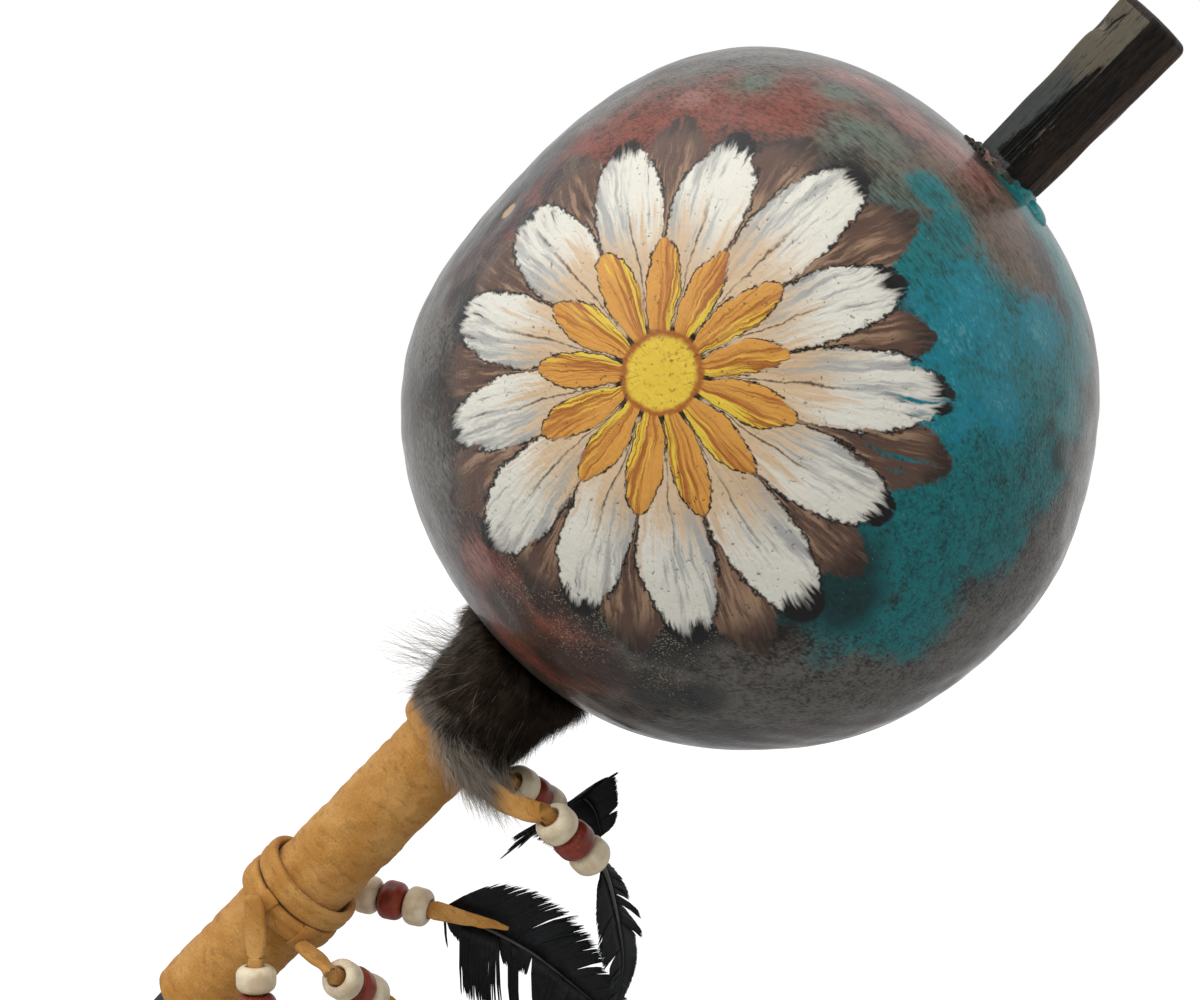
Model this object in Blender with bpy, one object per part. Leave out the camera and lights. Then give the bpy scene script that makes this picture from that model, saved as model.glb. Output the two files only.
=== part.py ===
"""Gourd rattle: a dried gourd on a whittled stick, with a fur collar, a buckskin grip
and five leather thongs that carry beads and feathers.

Metres, +Z up. The rattle is modelled as it is held: the stick leans over from upright
towards +X, and the origin is the middle of the grip on the stick's axis. Pieces on the
stick are made along a leaning empty's own Z axis. Each thong hangs from an empty at its
knot, which is where it swings.
"""
import math

import bmesh
import bpy
import numpy as np
from mathutils import Euler, Vector

# Held pose and clearances
HOLD_LEAN = math.radians(45)
CLEARANCE = 0.0003
ROUND_STEPS = 28

# Gourd: an egg of revolution that leans to its upper side. Each shoulder is fuller than
# the egg by a share of its size, the same all round, and a share that the underside loses.
GOURD_RADIUS = 0.065
GOURD_TOP_HEIGHT = 0.068
GOURD_BASE_HEIGHT = 0.064
GOURD_WALL = 0.004
GOURD_SIDE_SWELL = 0.002
UPPER_SHOULDER_ROUND = 0.040
UPPER_SHOULDER_LEAN = 0.047
LOWER_SHOULDER_ROUND = 0.014
LOWER_SHOULDER_LEAN = 0.039
GOURD_STEPS = 40
GOURD_OUTER_ROWS = 15
GOURD_INNER_ROWS = 13

# Whittled stick, measured across its corners
GRIP_TO_GOURD = 0.070
GRIP_TO_BUTT = 0.045
STUB_LENGTH = 0.039
GRIP_STICK_RADIUS = 0.0064
STUB_BASE_RADIUS = 0.0069
STUB_TIP_RADIUS = 0.0079
STICK_EDGE_BEVEL = 0.0005
STICK_CORNERS = (18, 74, 118, 166, 214, 262, 302, 336)

# Glue that seals the stick into both holes of the gourd
GLUE_SPREAD = 0.0026
GLUE_HEIGHT = 0.0024
GLUE_LUMP = 0.0007
GLUE_LUMP_COUNT = 3
GLUE_CROWN_SHARE = 0.6

# Buckskin sleeve on the grip
SLEEVE_THICKNESS = 0.0024
BARE_BUTT = 0.008
SLEEVE_ROLL = 0.0007

# Fur collar under the gourd
FUR_LENGTH = 0.021
FUR_TOP_RADIUS = 0.0155
FUR_WAIST_RADIUS = 0.0160
FUR_HEM_RADIUS = 0.0115
FUR_WAIST_SHARE = 0.30
FUR_TAPER_SHARE = 0.74

# Laces tied round the grip
LACE_WIDTH = 0.005
LACE_THICKNESS = 0.002
LACE_EDGE = 0.0007
LACE_KNOT = 0.0008
KNOT_SPREAD = math.radians(20)
MIDDLE_LACE_FROM_GRIP = 0.0009
LOWER_LACE_FROM_GRIP = -0.0045

# Thongs and their barrel beads. A thong starts in a ball, given by how far each ring lies
# behind the knot and its radius, both as shares of the thong's radius.
THONG_WIDTH = 0.0044
KNOT_BALL = ((0.92, 0.39), (0.62, 0.78), (0.0, 1.0))
THONG_POINT_SPACING = 0.004
THONG_LEAD_IN = 0.0014
TAIL_TIP_RADIUS = 0.0006
BEAD_RADIUS = 0.0041
BEAD_LENGTH = 0.0054
BEAD_BORE_RADIUS = 0.0020
BEAD_GAP = 0.0003
BEAD_SHOULDER = 0.0016
BEAD_STEPS = 14

# Feathers
QUILL_RADIUS = 0.0009
QUILL_SEAT = 0.0022
QUILL_TAPER = 0.7
VANE_EDGE = 0.0003
BARE_QUILL = 0.08
LEAF_SKEW = 0.6
LEAF_FULLNESS = 0.7
FEATHER_STATIONS = 14

# Seeds inside the gourd
SEED_RADIUS = 0.0027
SEED_SEAT = 0.0008
SEED_SPACING = 0.0090
SEED_ROWS = (3, 4, 3)
SEED_FIELD_SHIFT = 0.010

# Each dangle: the lace that it is tied to, the angle of its knot round the grip from the
# underside (positive on the far side), the thong's route from the knot to the first bead,
# the way the beads point, the thong's tail past the beads, the feather's route from the
# last bead, its upper and lower vane widths and the way its face looks. A feather whose
# quill bends sharply also has the way that its lower vane sweeps. Route points are in
# metres from the knot or the bead, along world X, Y and Z.
DANGLES = {
    "a": dict(
        lace="upper", knot_angle=0,
        route=[(0, 0, 0), (0.0010, 0.0030, 0.0010)],
        aim=(0.24, 0.86, -0.46), tail=0,
        quill=[(0.0020, 0.0038, 0.0008), (0.0050, 0.0046, 0.0018),
               (0.0074, 0.0048, -0.0008), (0.0088, 0.0050, -0.0058)],
        vanes=(0.0085, 0.0140), face=(0, -1, 0), sweep=(-0.80, 0, -0.60)),
    "b": dict(
        lace="upper", knot_angle=-58,
        route=[(0, 0, 0), (0.0067, -0.0011, -0.0034), (0.0111, -0.0021, -0.0055),
               (0.0163, -0.0032, -0.0066), (0.0193, -0.0030, -0.0074)],
        aim=(0.37, 0.68, -0.63), tail=0,
        quill=[(0.0022, 0.0020, -0.0055), (0.0038, 0.0022, -0.0130),
               (0.0048, 0.0022, -0.0205), (0.0040, 0.0022, -0.0290)],
        vanes=(0.0062, 0.0062), face=(0.90, -0.44, 0)),
    "c": dict(
        lace="middle", knot_angle=90,
        route=[(0, 0, 0), (0.0022, 0, -0.0022), (0.0046, 0, -0.0042)],
        aim=(0.98, 0, -0.17), tail=0.0175,
        quill=[(0.0170, 0.0006, -0.0066), (0.0262, 0.0008, -0.0121),
               (0.0436, 0.0010, -0.0250)],
        vanes=(0.0110, 0.0140), face=(0, -1, 0)),
    "d": dict(
        lace="lower", knot_angle=-43,
        route=[(0, 0, 0), (0.0036, -0.0004, -0.0024), (0.0064, 0, -0.0050)],
        aim=(0.16, 0.88, -0.44), tail=0.0150,
        quill=[(0.0004, 0.0040, -0.0060), (0.0010, 0.0056, -0.0140),
               (0.0016, 0.0062, -0.0225), (0.0010, 0.0064, -0.0310)],
        vanes=(0.0062, 0.0062), face=(0.98, -0.18, 0)),
    "e": dict(
        lace="lower", knot_angle=-100,
        route=[(0, 0, 0), (0.0004, 0, -0.0060), (0.0004, 0, -0.0120)],
        aim=(0, 0, -1), tail=0.0150,
        quill=[(0.0006, 0.0006, -0.0150), (0.0020, 0.0008, -0.0290),
               (0.0056, 0.0010, -0.0430)],
        vanes=(0.0070, 0.0065), face=(0, -1, 0)),
}

# Places along the stick, from the middle of the grip
GOURD_MIDDLE = GRIP_TO_GOURD + GOURD_BASE_HEIGHT
GOURD_TOP = GOURD_MIDDLE + GOURD_TOP_HEIGHT
STUB_TIP = GOURD_TOP + STUB_LENGTH
BUTT_END = -GRIP_TO_BUTT

# Radii that follow from what fits over what
SLEEVE_BORE = GRIP_STICK_RADIUS + CLEARANCE
SLEEVE_RADIUS = SLEEVE_BORE + SLEEVE_THICKNESS
OVER_SLEEVE = SLEEVE_RADIUS + CLEARANCE
LACE_RADIUS = OVER_SLEEVE + LACE_THICKNESS
THONG_RADIUS = THONG_WIDTH / 2
KNOT_RADIUS = LACE_RADIUS + LACE_KNOT + CLEARANCE + THONG_RADIUS
THREADED_RADIUS = BEAD_BORE_RADIUS - CLEARANCE
FUR_HEM = GRIP_TO_GOURD - FUR_LENGTH
LACE_PLACES = {
    "upper": FUR_HEM - CLEARANCE - LACE_WIDTH / 2,
    "middle": MIDDLE_LACE_FROM_GRIP,
    "lower": LOWER_LACE_FROM_GRIP,
}


def clear_scene():
    for item in list(bpy.data.objects):
        bpy.data.objects.remove(item, do_unlink=True)


def finish(name, colour, roughness, metallic=0.0):
    material = bpy.data.materials.new(name)
    material.use_nodes = True
    shader = material.node_tree.nodes["Principled BSDF"]
    shader.inputs["Base Color"].default_value = (*colour, 1.0)
    shader.inputs["Roughness"].default_value = roughness
    shader.inputs["Metallic"].default_value = metallic
    return material


def place(item, parent):
    bpy.context.scene.collection.objects.link(item)
    item.parent = parent
    return item


def empty(name, location=(0, 0, 0), rotation=(0, 0, 0)):
    item = place(bpy.data.objects.new(name, None), None)
    item.location = location
    item.rotation_euler = rotation
    return item


def solid(name, shape, material, parent, smooth_angle=40):
    """Turn a closed bmesh into a named object with its faces pointing out."""
    bmesh.ops.remove_doubles(shape, verts=shape.verts, dist=1e-7)
    bmesh.ops.recalc_face_normals(shape, faces=shape.faces)
    mesh = bpy.data.meshes.new(name)
    shape.to_mesh(mesh)
    shape.free()
    mesh.shade_smooth()
    mesh.set_sharp_from_angle(angle=math.radians(smooth_angle))
    mesh.materials.append(material)
    return place(bpy.data.objects.new(name, mesh), parent)


def turned(profile, steps, reshape=None):
    """Spin a closed outline of (radius, height) points about Z, then reshape its points."""
    shape = bmesh.new()
    points = [shape.verts.new((radius, 0, height)) for radius, height in profile]
    outline = [shape.edges.new((points[i - 1], points[i])) for i in range(len(points))]
    bmesh.ops.spin(shape, geom=points + outline, cent=(0, 0, 0), axis=(0, 0, 1),
                   angle=2 * math.pi, steps=steps, use_merge=True)
    bmesh.ops.remove_doubles(shape, verts=shape.verts, dist=1e-7)
    if reshape:
        for point in shape.verts:
            point.co = reshape(point.co)
    return shape


def lofted(rings):
    """Skin a run of closed rings with side faces and cap both ends."""
    shape = bmesh.new()
    loops = [[shape.verts.new(point) for point in ring] for ring in rings]
    for lower, upper in zip(loops, loops[1:]):
        for i in range(len(lower)):
            shape.faces.new((lower[i - 1], lower[i], upper[i], upper[i - 1]))
    shape.faces.new(loops[0])
    shape.faces.new(list(reversed(loops[-1])))
    return shape


def smooth_curve(points, spacing):
    """Points at an even spacing along a Catmull-Rom curve through hand-chosen points."""
    knots = np.array([2 * np.array(points[0]) - points[1], *points,
                      2 * np.array(points[-1]) - points[-2]], float)
    runs = []
    for before, start, end, after in zip(knots, knots[1:], knots[2:], knots[3:]):
        t = np.linspace(0, 1, 16, endpoint=False)[:, None]
        runs.append(0.5 * (2 * start + (end - before) * t
                           + (2 * before - 5 * start + 4 * end - after) * t ** 2
                           + (3 * start - before - 3 * end + after) * t ** 3))
    dense = np.vstack([*runs, knots[-2:-1]])
    along = np.concatenate([[0], np.cumsum(np.linalg.norm(np.diff(dense, axis=0), axis=1))])
    count = max(2, round(along[-1] / spacing) + 1)
    even = np.linspace(0, along[-1], count)
    return np.stack([np.interp(even, along, dense[:, axis]) for axis in range(3)], axis=1)


def gourd_reach(top):
    return GOURD_TOP_HEIGHT if top else GOURD_BASE_HEIGHT


def gourd_height(radius, inset, top):
    """Height of the egg's outer wall, or its inner wall at an inset, above its middle."""
    rise = (gourd_reach(top) - inset) * math.sqrt(1 - (radius / (GOURD_RADIUS - inset)) ** 2)
    return rise if top else -rise


def gourd_arc(inset, top_radius, base_radius, rows):
    """Outline of one wall from its upper hole down to its lower hole, as an egg's arc."""
    across = GOURD_RADIUS - inset
    first = math.asin(top_radius / across)
    last = math.pi - math.asin(base_radius / across)
    outline = []
    for row in range(rows + 1):
        angle = first + (last - first) * row / rows
        reach = gourd_reach(angle < math.pi / 2) - inset
        outline.append((across * math.sin(angle), GOURD_MIDDLE + reach * math.cos(angle)))
    return outline


def fullness(across, height, angle):
    """Share by which a shoulder outgrows the egg, greatest halfway up to each hole."""
    if height > 0:
        growth = UPPER_SHOULDER_ROUND - UPPER_SHOULDER_LEAN * math.cos(angle)
    else:
        growth = LOWER_SHOULDER_ROUND - LOWER_SHOULDER_LEAN * math.cos(angle)
    across, height = across / GOURD_RADIUS, height / gourd_reach(height > 0)
    return growth * (2 * across * height / (across ** 2 + height ** 2)) ** 2


def swell(radius):
    """How far the gourd leans over towards its upper side at a radius from the stick."""
    return GOURD_SIDE_SWELL * (radius / GOURD_RADIUS) ** 2


def grow_gourd(point):
    """Move a point of the egg out to the gourd's fuller shoulders and over to its side."""
    radius = math.hypot(point.x, point.y)
    height = point.z - GOURD_MIDDLE
    size = 1 + fullness(radius, height, math.atan2(point.y, point.x))
    return Vector((point.x * size - swell(radius * size), point.y * size,
                   GOURD_MIDDLE + height * size))


def seat_shift(point, top):
    """Height that the fuller shoulders add to the gourd's skin above or below a point."""
    radius = math.hypot(point.x, point.y)
    height = gourd_height(radius, 0, top)
    return height * fullness(radius, height, math.atan2(point.y, point.x))


def wall_share(point, inset):
    """Share of the way from the gourd's middle out to its wall at an inset: 1 is on it."""
    radius = math.hypot(point.x, point.y)
    upright = Vector((point.x + swell(radius), point.y, point.z))
    across = math.hypot(upright.x, upright.y)
    size = 1 + fullness(across, point.z, math.atan2(upright.y, upright.x))
    reach = gourd_reach(point.z > 0) - inset
    return math.hypot(across / (GOURD_RADIUS - inset), upright.z / reach) / size


def make_gourd(axis):
    top_hole = STUB_BASE_RADIUS + CLEARANCE
    base_hole = GRIP_STICK_RADIUS + CLEARANCE
    outer = gourd_arc(0, top_hole, base_hole, GOURD_OUTER_ROWS)
    inner = gourd_arc(GOURD_WALL, top_hole, base_hole, GOURD_INNER_ROWS)
    shape = turned(outer + inner[::-1], GOURD_STEPS, grow_gourd)
    solid("gourd_shell", shape, finish("painted_gourd", (0.10, 0.085, 0.075), 0.35), axis)


def stick_ring(height, radius):
    corners = [math.radians(corner) for corner in STICK_CORNERS]
    return [(radius * math.cos(a), radius * math.sin(a), height) for a in corners]


def make_stick(axis):
    """Loft the whittled octagon from the butt, through the gourd, to the stub's tip."""
    taper_start = GRIP_TO_GOURD + GOURD_WALL
    rings = [
        stick_ring(BUTT_END, GRIP_STICK_RADIUS - STICK_EDGE_BEVEL),
        stick_ring(BUTT_END + STICK_EDGE_BEVEL, GRIP_STICK_RADIUS),
        stick_ring(taper_start, GRIP_STICK_RADIUS),
        stick_ring(GOURD_TOP - GOURD_WALL, STUB_BASE_RADIUS),
        stick_ring(GOURD_TOP + GLUE_HEIGHT, STUB_BASE_RADIUS),
        stick_ring(STUB_TIP - STICK_EDGE_BEVEL, STUB_TIP_RADIUS),
        stick_ring(STUB_TIP, STUB_TIP_RADIUS - STICK_EDGE_BEVEL),
    ]
    wood = finish("dark_stick", (0.030, 0.024, 0.020), 0.55)
    solid("through_stick", lofted(rings), wood, axis, smooth_angle=15)


def make_glue(axis):
    """Glue fillets that lie on the gourd round the stick: lumpy above, plain below."""
    glue = finish("dark_glue", (0.035, 0.040, 0.038), 0.6)
    bore = STUB_BASE_RADIUS + CLEARANCE
    rim = bore + GLUE_SPREAD
    seat = [(radius, GOURD_MIDDLE + gourd_height(radius + GLUE_LUMP, 0, True) + CLEARANCE)
            for radius in (bore, rim)]
    crown = [(rim - GLUE_SPREAD / 3, seat[1][1] + GLUE_HEIGHT * GLUE_CROWN_SHARE),
             (bore, seat[0][1] + GLUE_HEIGHT)]

    def settle(point):
        radius = math.hypot(point.x, point.y)
        wave = math.sin(GLUE_LUMP_COUNT * math.atan2(point.y, point.x))
        out = GLUE_LUMP * (1 + wave) / 2 if radius > bore + GLUE_SPREAD / 2 else 0.0
        size = 1 + out / radius
        return Vector((point.x * size, point.y * size, point.z + seat_shift(point, True)))

    solid("top_glue_ring", turned([*seat, *crown], ROUND_STEPS, settle), glue, axis)

    foot = GRIP_TO_GOURD - GLUE_HEIGHT
    seat = [(radius, GOURD_MIDDLE + gourd_height(radius, 0, False) - CLEARANCE)
            for radius in (SLEEVE_BORE, SLEEVE_RADIUS)]
    base = [(SLEEVE_RADIUS, foot), (SLEEVE_BORE, foot)]

    def settle_below(point):
        share = min(1.0, (point.z - foot) / GLUE_HEIGHT)
        return Vector((point.x, point.y, point.z + share * seat_shift(point, False)))

    solid("bottom_glue_ring", turned([*seat, *base], ROUND_STEPS, settle_below), glue, axis)


def make_sleeve(axis):
    """Buckskin tube on the grip, with both ends rolled in."""
    low = BUTT_END + BARE_BUTT
    high = GRIP_TO_GOURD - GLUE_HEIGHT - CLEARANCE
    outline = [
        (SLEEVE_BORE, low), (SLEEVE_RADIUS - SLEEVE_ROLL, low),
        (SLEEVE_RADIUS, low + SLEEVE_ROLL), (SLEEVE_RADIUS, high - SLEEVE_ROLL),
        (SLEEVE_RADIUS - SLEEVE_ROLL, high), (SLEEVE_BORE, high),
    ]
    hide = finish("buckskin", (0.52, 0.30, 0.10), 0.75)
    solid("handle_sleeve", turned(outline, ROUND_STEPS), hide, axis)


def make_fur(axis):
    """Strip of fur wrapped round the top of the grip, close under the gourd."""
    seat = [(radius, GOURD_MIDDLE + gourd_height(radius, 0, False) - CLEARANCE)
            for radius in (OVER_SLEEVE, (OVER_SLEEVE + FUR_TOP_RADIUS) / 2, FUR_TOP_RADIUS)]
    side = [
        (FUR_WAIST_RADIUS, GRIP_TO_GOURD - FUR_LENGTH * FUR_WAIST_SHARE),
        ((FUR_WAIST_RADIUS + FUR_HEM_RADIUS) / 2,
         GRIP_TO_GOURD - FUR_LENGTH * FUR_TAPER_SHARE),
        (FUR_HEM_RADIUS, FUR_HEM),
        (OVER_SLEEVE, FUR_HEM),
    ]

    def settle(point):
        share = (point.z - FUR_HEM) / FUR_LENGTH
        return Vector((point.x, point.y, point.z + share * seat_shift(point, False)))

    fur = finish("dark_fur", (0.045, 0.035, 0.030), 0.9)
    solid("fur_collar", turned([*seat, *side], ROUND_STEPS, settle), fur, axis)


def make_lace(axis, place_name, hide):
    """Flat lace round the grip, thicker where its knots let the thongs out."""
    middle = LACE_PLACES[place_name]
    knots = [math.radians(spec["knot_angle"]) for spec in DANGLES.values()
             if spec["lace"] == place_name]
    half = LACE_WIDTH / 2
    inner, outer = OVER_SLEEVE + LACE_EDGE, LACE_RADIUS - LACE_EDGE
    low, high = middle - half + LACE_EDGE, middle + half - LACE_EDGE
    outline = [
        (OVER_SLEEVE, low), (inner, middle - half), (outer, middle - half),
        (LACE_RADIUS, low), (LACE_RADIUS, high), (outer, middle + half),
        (inner, middle + half), (OVER_SLEEVE, high),
    ]

    def knotted(point):
        radius = math.hypot(point.x, point.y)
        angle = math.atan2(point.y, point.x)
        turns = [abs((angle - knot + math.pi) % (2 * math.pi) - math.pi) for knot in knots]
        bump = sum(max(0.0, math.cos(turn / KNOT_SPREAD * math.pi / 2)) ** 2
                   for turn in turns if turn < KNOT_SPREAD)
        share = (radius - OVER_SLEEVE) / LACE_THICKNESS
        grow = 1 + LACE_KNOT * bump * max(0.0, share) / radius
        return Vector((point.x * grow, point.y * grow, point.z))

    solid(f"{place_name}_lace", turned(outline, 36, knotted), hide, axis)


def make_thong(name, route, aim, threaded, tail, hide, parent):
    """Leather thong: a ball at its knot, a free run, a thinner run in the beads, a tail."""
    mouth = Vector(route[-1])
    lead_in = mouth - aim * THONG_LEAD_IN
    run = smooth_curve([*route[:-1], tuple(lead_in)], THONG_POINT_SPACING)
    start = Vector(run[1] - run[0]).normalized()
    points = []
    for back, share in KNOT_BALL:
        points.append((Vector(run[0]) - start * THONG_RADIUS * back, THONG_RADIUS * share))
    points += [(Vector(point), THONG_RADIUS) for point in run[1:-1]]
    points.append((lead_in, THREADED_RADIUS))
    points.append((mouth, THREADED_RADIUS))
    points.append((mouth + aim * threaded, THREADED_RADIUS))
    if tail:
        points.append((mouth + aim * (threaded + tail / 2), THREADED_RADIUS))
        points.append((mouth + aim * (threaded + tail), TAIL_TIP_RADIUS))
    curve = bpy.data.curves.new(name, "CURVE")
    curve.dimensions = "3D"
    curve.bevel_depth = THONG_RADIUS
    curve.bevel_resolution = 2
    curve.use_fill_caps = True
    spline = curve.splines.new("POLY")
    spline.points.add(len(points) - 1)
    for target, (point, radius) in zip(spline.points, points):
        target.co = (*point, 1.0)
        target.radius = radius / THONG_RADIUS
    curve.materials.append(hide)
    place(bpy.data.objects.new(name, curve), parent)


def bead_mesh():
    """Barrel bead about Z with rounded shoulders and a straight bore."""
    half = BEAD_LENGTH / 2
    flat = half - BEAD_SHOULDER
    outline = [(BEAD_BORE_RADIUS, -half)]
    for side in (-1, 1):
        arc = [math.radians(angle) for angle in (90, 45, 0)]
        corner = [(BEAD_RADIUS - BEAD_SHOULDER * (1 - math.cos(a)),
                   side * (flat + BEAD_SHOULDER * math.sin(a))) for a in arc]
        outline += corner if side < 0 else corner[::-1]
    outline.append((BEAD_BORE_RADIUS, half))
    return turned(outline, BEAD_STEPS)


def make_feather(name, route, vanes, face, sweep, material, parent):
    """Thin leaf-shaped blade on a curved quill, thickest along the quill. Its vanes stand
    square to the quill, or along the sweep where one is given."""
    spine = smooth_curve(route, QUILL_SEAT / 2)
    along = np.linspace(0, 1, len(spine))
    share = np.linspace(0, 1, FEATHER_STATIONS)
    spine = np.stack([np.interp(share, along, spine[:, axis]) for axis in range(3)], axis=1)
    tangent = np.gradient(spine, axis=0)
    tangent /= np.linalg.norm(tangent, axis=1)[:, None]
    across = np.cross(tangent, face)
    if sweep is not None:
        across[share > BARE_QUILL] = sweep
    across /= np.linalg.norm(across, axis=1)[:, None]
    out = np.cross(across, tangent)
    out /= np.linalg.norm(out, axis=1)[:, None]
    vaned = np.clip((share - BARE_QUILL) / (1 - BARE_QUILL), 0, 1)
    leaf = np.sin(np.pi * vaned ** LEAF_SKEW) ** LEAF_FULLNESS
    spine_radius = QUILL_RADIUS * (1 - QUILL_TAPER * share)
    rings = []
    for i in range(FEATHER_STATIONS):
        centre = spine[i]
        thick = out[i] * spine_radius[i]
        upper = across[i] * -(spine_radius[i] + vanes[0] * leaf[i])
        lower = across[i] * (spine_radius[i] + vanes[1] * leaf[i])
        edge = out[i] * min(VANE_EDGE, spine_radius[i] / 2)
        rings.append([centre + thick, centre + lower + edge, centre + lower - edge,
                      centre - thick, centre + upper - edge, centre + upper + edge])
    solid(name, lofted([[Vector(point) for point in ring] for ring in rings]),
          material, parent)


def make_dangle(letter, spec, lean):
    """One thong with its three beads and its feather, under an empty at its knot."""
    angle = math.radians(spec["knot_angle"])
    local = Vector((KNOT_RADIUS * math.cos(angle), KNOT_RADIUS * math.sin(angle),
                    LACE_PLACES[spec["lace"]]))
    knot = empty(f"knot_{letter}", lean @ local)
    aim = Vector(spec["aim"]).normalized()
    face = Vector(spec["face"]).normalized()
    pitch = BEAD_LENGTH + BEAD_GAP
    threaded = 3 * pitch
    hide = finish(f"thong_leather_{letter}", (0.50, 0.26, 0.07), 0.65)
    make_thong(f"thong_{letter}", spec["route"], aim, threaded, spec["tail"], hide, knot)

    mouth = Vector(spec["route"][-1])
    shades = ((0.72, 0.64, 0.50), (0.36, 0.05, 0.025), (0.72, 0.64, 0.50))
    for count, shade in enumerate(shades, 1):
        name = f"bead_{letter}_{count}"
        bead = solid(name, bead_mesh(), finish(name, shade, 0.4), knot)
        bead.location = mouth + aim * (BEAD_GAP + BEAD_LENGTH / 2 + pitch * (count - 1))
        bead.rotation_euler = Vector((0, 0, 1)).rotation_difference(aim).to_euler()

    beside = THREADED_RADIUS + QUILL_RADIUS + CLEARANCE if spec["tail"] else 0.0
    base = mouth + aim * (threaded + CLEARANCE) - face * beside
    route = [base, base + aim * QUILL_SEAT]
    route += [base + Vector(point) for point in spec["quill"]]
    black = finish(f"black_feather_{letter}", (0.012, 0.013, 0.016), 0.45)
    make_feather(f"feather_{letter}", [tuple(point) for point in route], spec["vanes"],
                 np.array(face), spec.get("sweep"), black, knot)


def drop_to_floor(side, lean):
    """Depth below the gourd's middle at which a seed set out sideways meets the floor."""
    inset = GOURD_WALL + SEED_RADIUS + SEED_SEAT
    high, low = 0.0, GOURD_RADIUS
    for _ in range(40):
        drop = (high + low) / 2
        inside = wall_share(lean.transposed() @ (side - Vector((0, 0, drop))), inset) < 1
        high, low = (drop, low) if inside else (high, drop)
    return high


def make_seeds(lean):
    """Seeds that lie at the bottom of the hollow, each free to hop straight up."""
    centre = lean @ Vector((0, 0, GOURD_MIDDLE))
    number = 0
    for row, count in enumerate(SEED_ROWS):
        for column in range(count):
            number += 1
            side = Vector((SEED_FIELD_SHIFT + SEED_SPACING * (row - 1),
                           SEED_SPACING * (column - (count - 1) / 2), 0))
            shape = bmesh.new()
            bmesh.ops.create_uvsphere(shape, u_segments=10, v_segments=6, radius=SEED_RADIUS)
            name = f"seed_{number:02d}"
            seed = solid(name, shape, finish(name, (0.20, 0.12, 0.06), 0.6), None)
            seed.location = centre + side - Vector((0, 0, drop_to_floor(side, lean)))


def main():
    clear_scene()
    lean = Euler((0, HOLD_LEAN, 0)).to_matrix()
    axis = empty("stick_axis", rotation=(0, HOLD_LEAN, 0))
    make_gourd(axis)
    make_stick(axis)
    make_glue(axis)
    make_sleeve(axis)
    make_fur(axis)
    hide = finish("lace_leather", (0.50, 0.26, 0.07), 0.65)
    for place_name in LACE_PLACES:
        make_lace(axis, place_name, hide)
    for letter, spec in DANGLES.items():
        make_dangle(letter, spec, lean)
    make_seeds(lean)


main()
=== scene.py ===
# Gourd rattle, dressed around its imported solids: a painted gourd on a whittled stick, a fur
# collar, a buckskin grip and five thongs with beads and feathers. Metres, +Z up, as held.
import math

import bmesh
import bpy
import numpy as np
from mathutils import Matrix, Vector


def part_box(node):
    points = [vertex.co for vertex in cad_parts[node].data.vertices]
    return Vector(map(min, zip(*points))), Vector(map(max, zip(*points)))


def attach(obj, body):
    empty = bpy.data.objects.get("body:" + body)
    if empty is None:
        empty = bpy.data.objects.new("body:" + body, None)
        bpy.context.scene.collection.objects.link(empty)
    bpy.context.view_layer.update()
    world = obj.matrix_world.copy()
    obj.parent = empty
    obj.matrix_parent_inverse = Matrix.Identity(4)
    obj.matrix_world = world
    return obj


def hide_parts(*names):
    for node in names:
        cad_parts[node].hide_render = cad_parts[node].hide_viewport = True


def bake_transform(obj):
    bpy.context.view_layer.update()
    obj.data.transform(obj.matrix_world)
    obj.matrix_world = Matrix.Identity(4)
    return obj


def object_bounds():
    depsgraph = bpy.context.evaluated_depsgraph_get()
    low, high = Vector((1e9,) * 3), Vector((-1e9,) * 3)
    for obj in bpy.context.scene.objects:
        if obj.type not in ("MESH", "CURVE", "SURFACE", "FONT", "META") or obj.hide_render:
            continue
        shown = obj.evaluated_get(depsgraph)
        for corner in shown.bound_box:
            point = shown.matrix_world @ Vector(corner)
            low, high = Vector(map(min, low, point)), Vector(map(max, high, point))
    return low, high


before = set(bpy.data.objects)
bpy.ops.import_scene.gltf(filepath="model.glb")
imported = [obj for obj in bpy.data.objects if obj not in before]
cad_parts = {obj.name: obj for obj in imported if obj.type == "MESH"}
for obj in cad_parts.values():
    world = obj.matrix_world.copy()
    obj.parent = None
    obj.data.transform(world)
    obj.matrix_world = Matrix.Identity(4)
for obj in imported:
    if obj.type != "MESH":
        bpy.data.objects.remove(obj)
cad_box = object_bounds()

# Gourd
# A dried hard-shell gourd with a hole at each end for the stick. One shell with an outer and
# an inner wall, grown fuller at its shoulders and a little dented, and painted by brush.
GOURD_RADIUS = 0.065
GOURD_TOP_HEIGHT = 0.068
GOURD_BASE_HEIGHT = 0.064
GOURD_MIDDLE = 0.134
GOURD_WALL = 0.004
GOURD_SIDE_SWELL = 0.002
UPPER_SHOULDER = (0.040, 0.047)
LOWER_SHOULDER = (0.014, 0.039)
TOP_HOLE_RADIUS = 0.0072
BASE_HOLE_RADIUS = 0.0067
STICK_LEAN = math.radians(45)
UNDER = np.array([math.cos(STICK_LEAN), 0.0, -math.sin(STICK_LEAN)])
BEHIND = np.array([0.0, 1.0, 0.0])
ALONG = np.array([math.sin(STICK_LEAN), 0.0, math.cos(STICK_LEAN)])


def held(under, behind, along):
    """Frame points for distances under, behind and along the leaning stick."""
    parts = zip((under, behind, along), (UNDER, BEHIND, ALONG))
    return sum(np.asarray(part)[..., None] * way for part, way in parts)


def round_stick(radius, angle, height):
    """Frame points at a radius and an angle round the stick and a height along it."""
    return held(radius * np.cos(angle), radius * np.sin(angle), height)


def unit(vectors):
    """Vectors of the same ways and of length 1."""
    return np.asarray(vectors) / np.linalg.norm(vectors, axis=-1, keepdims=True)


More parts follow.
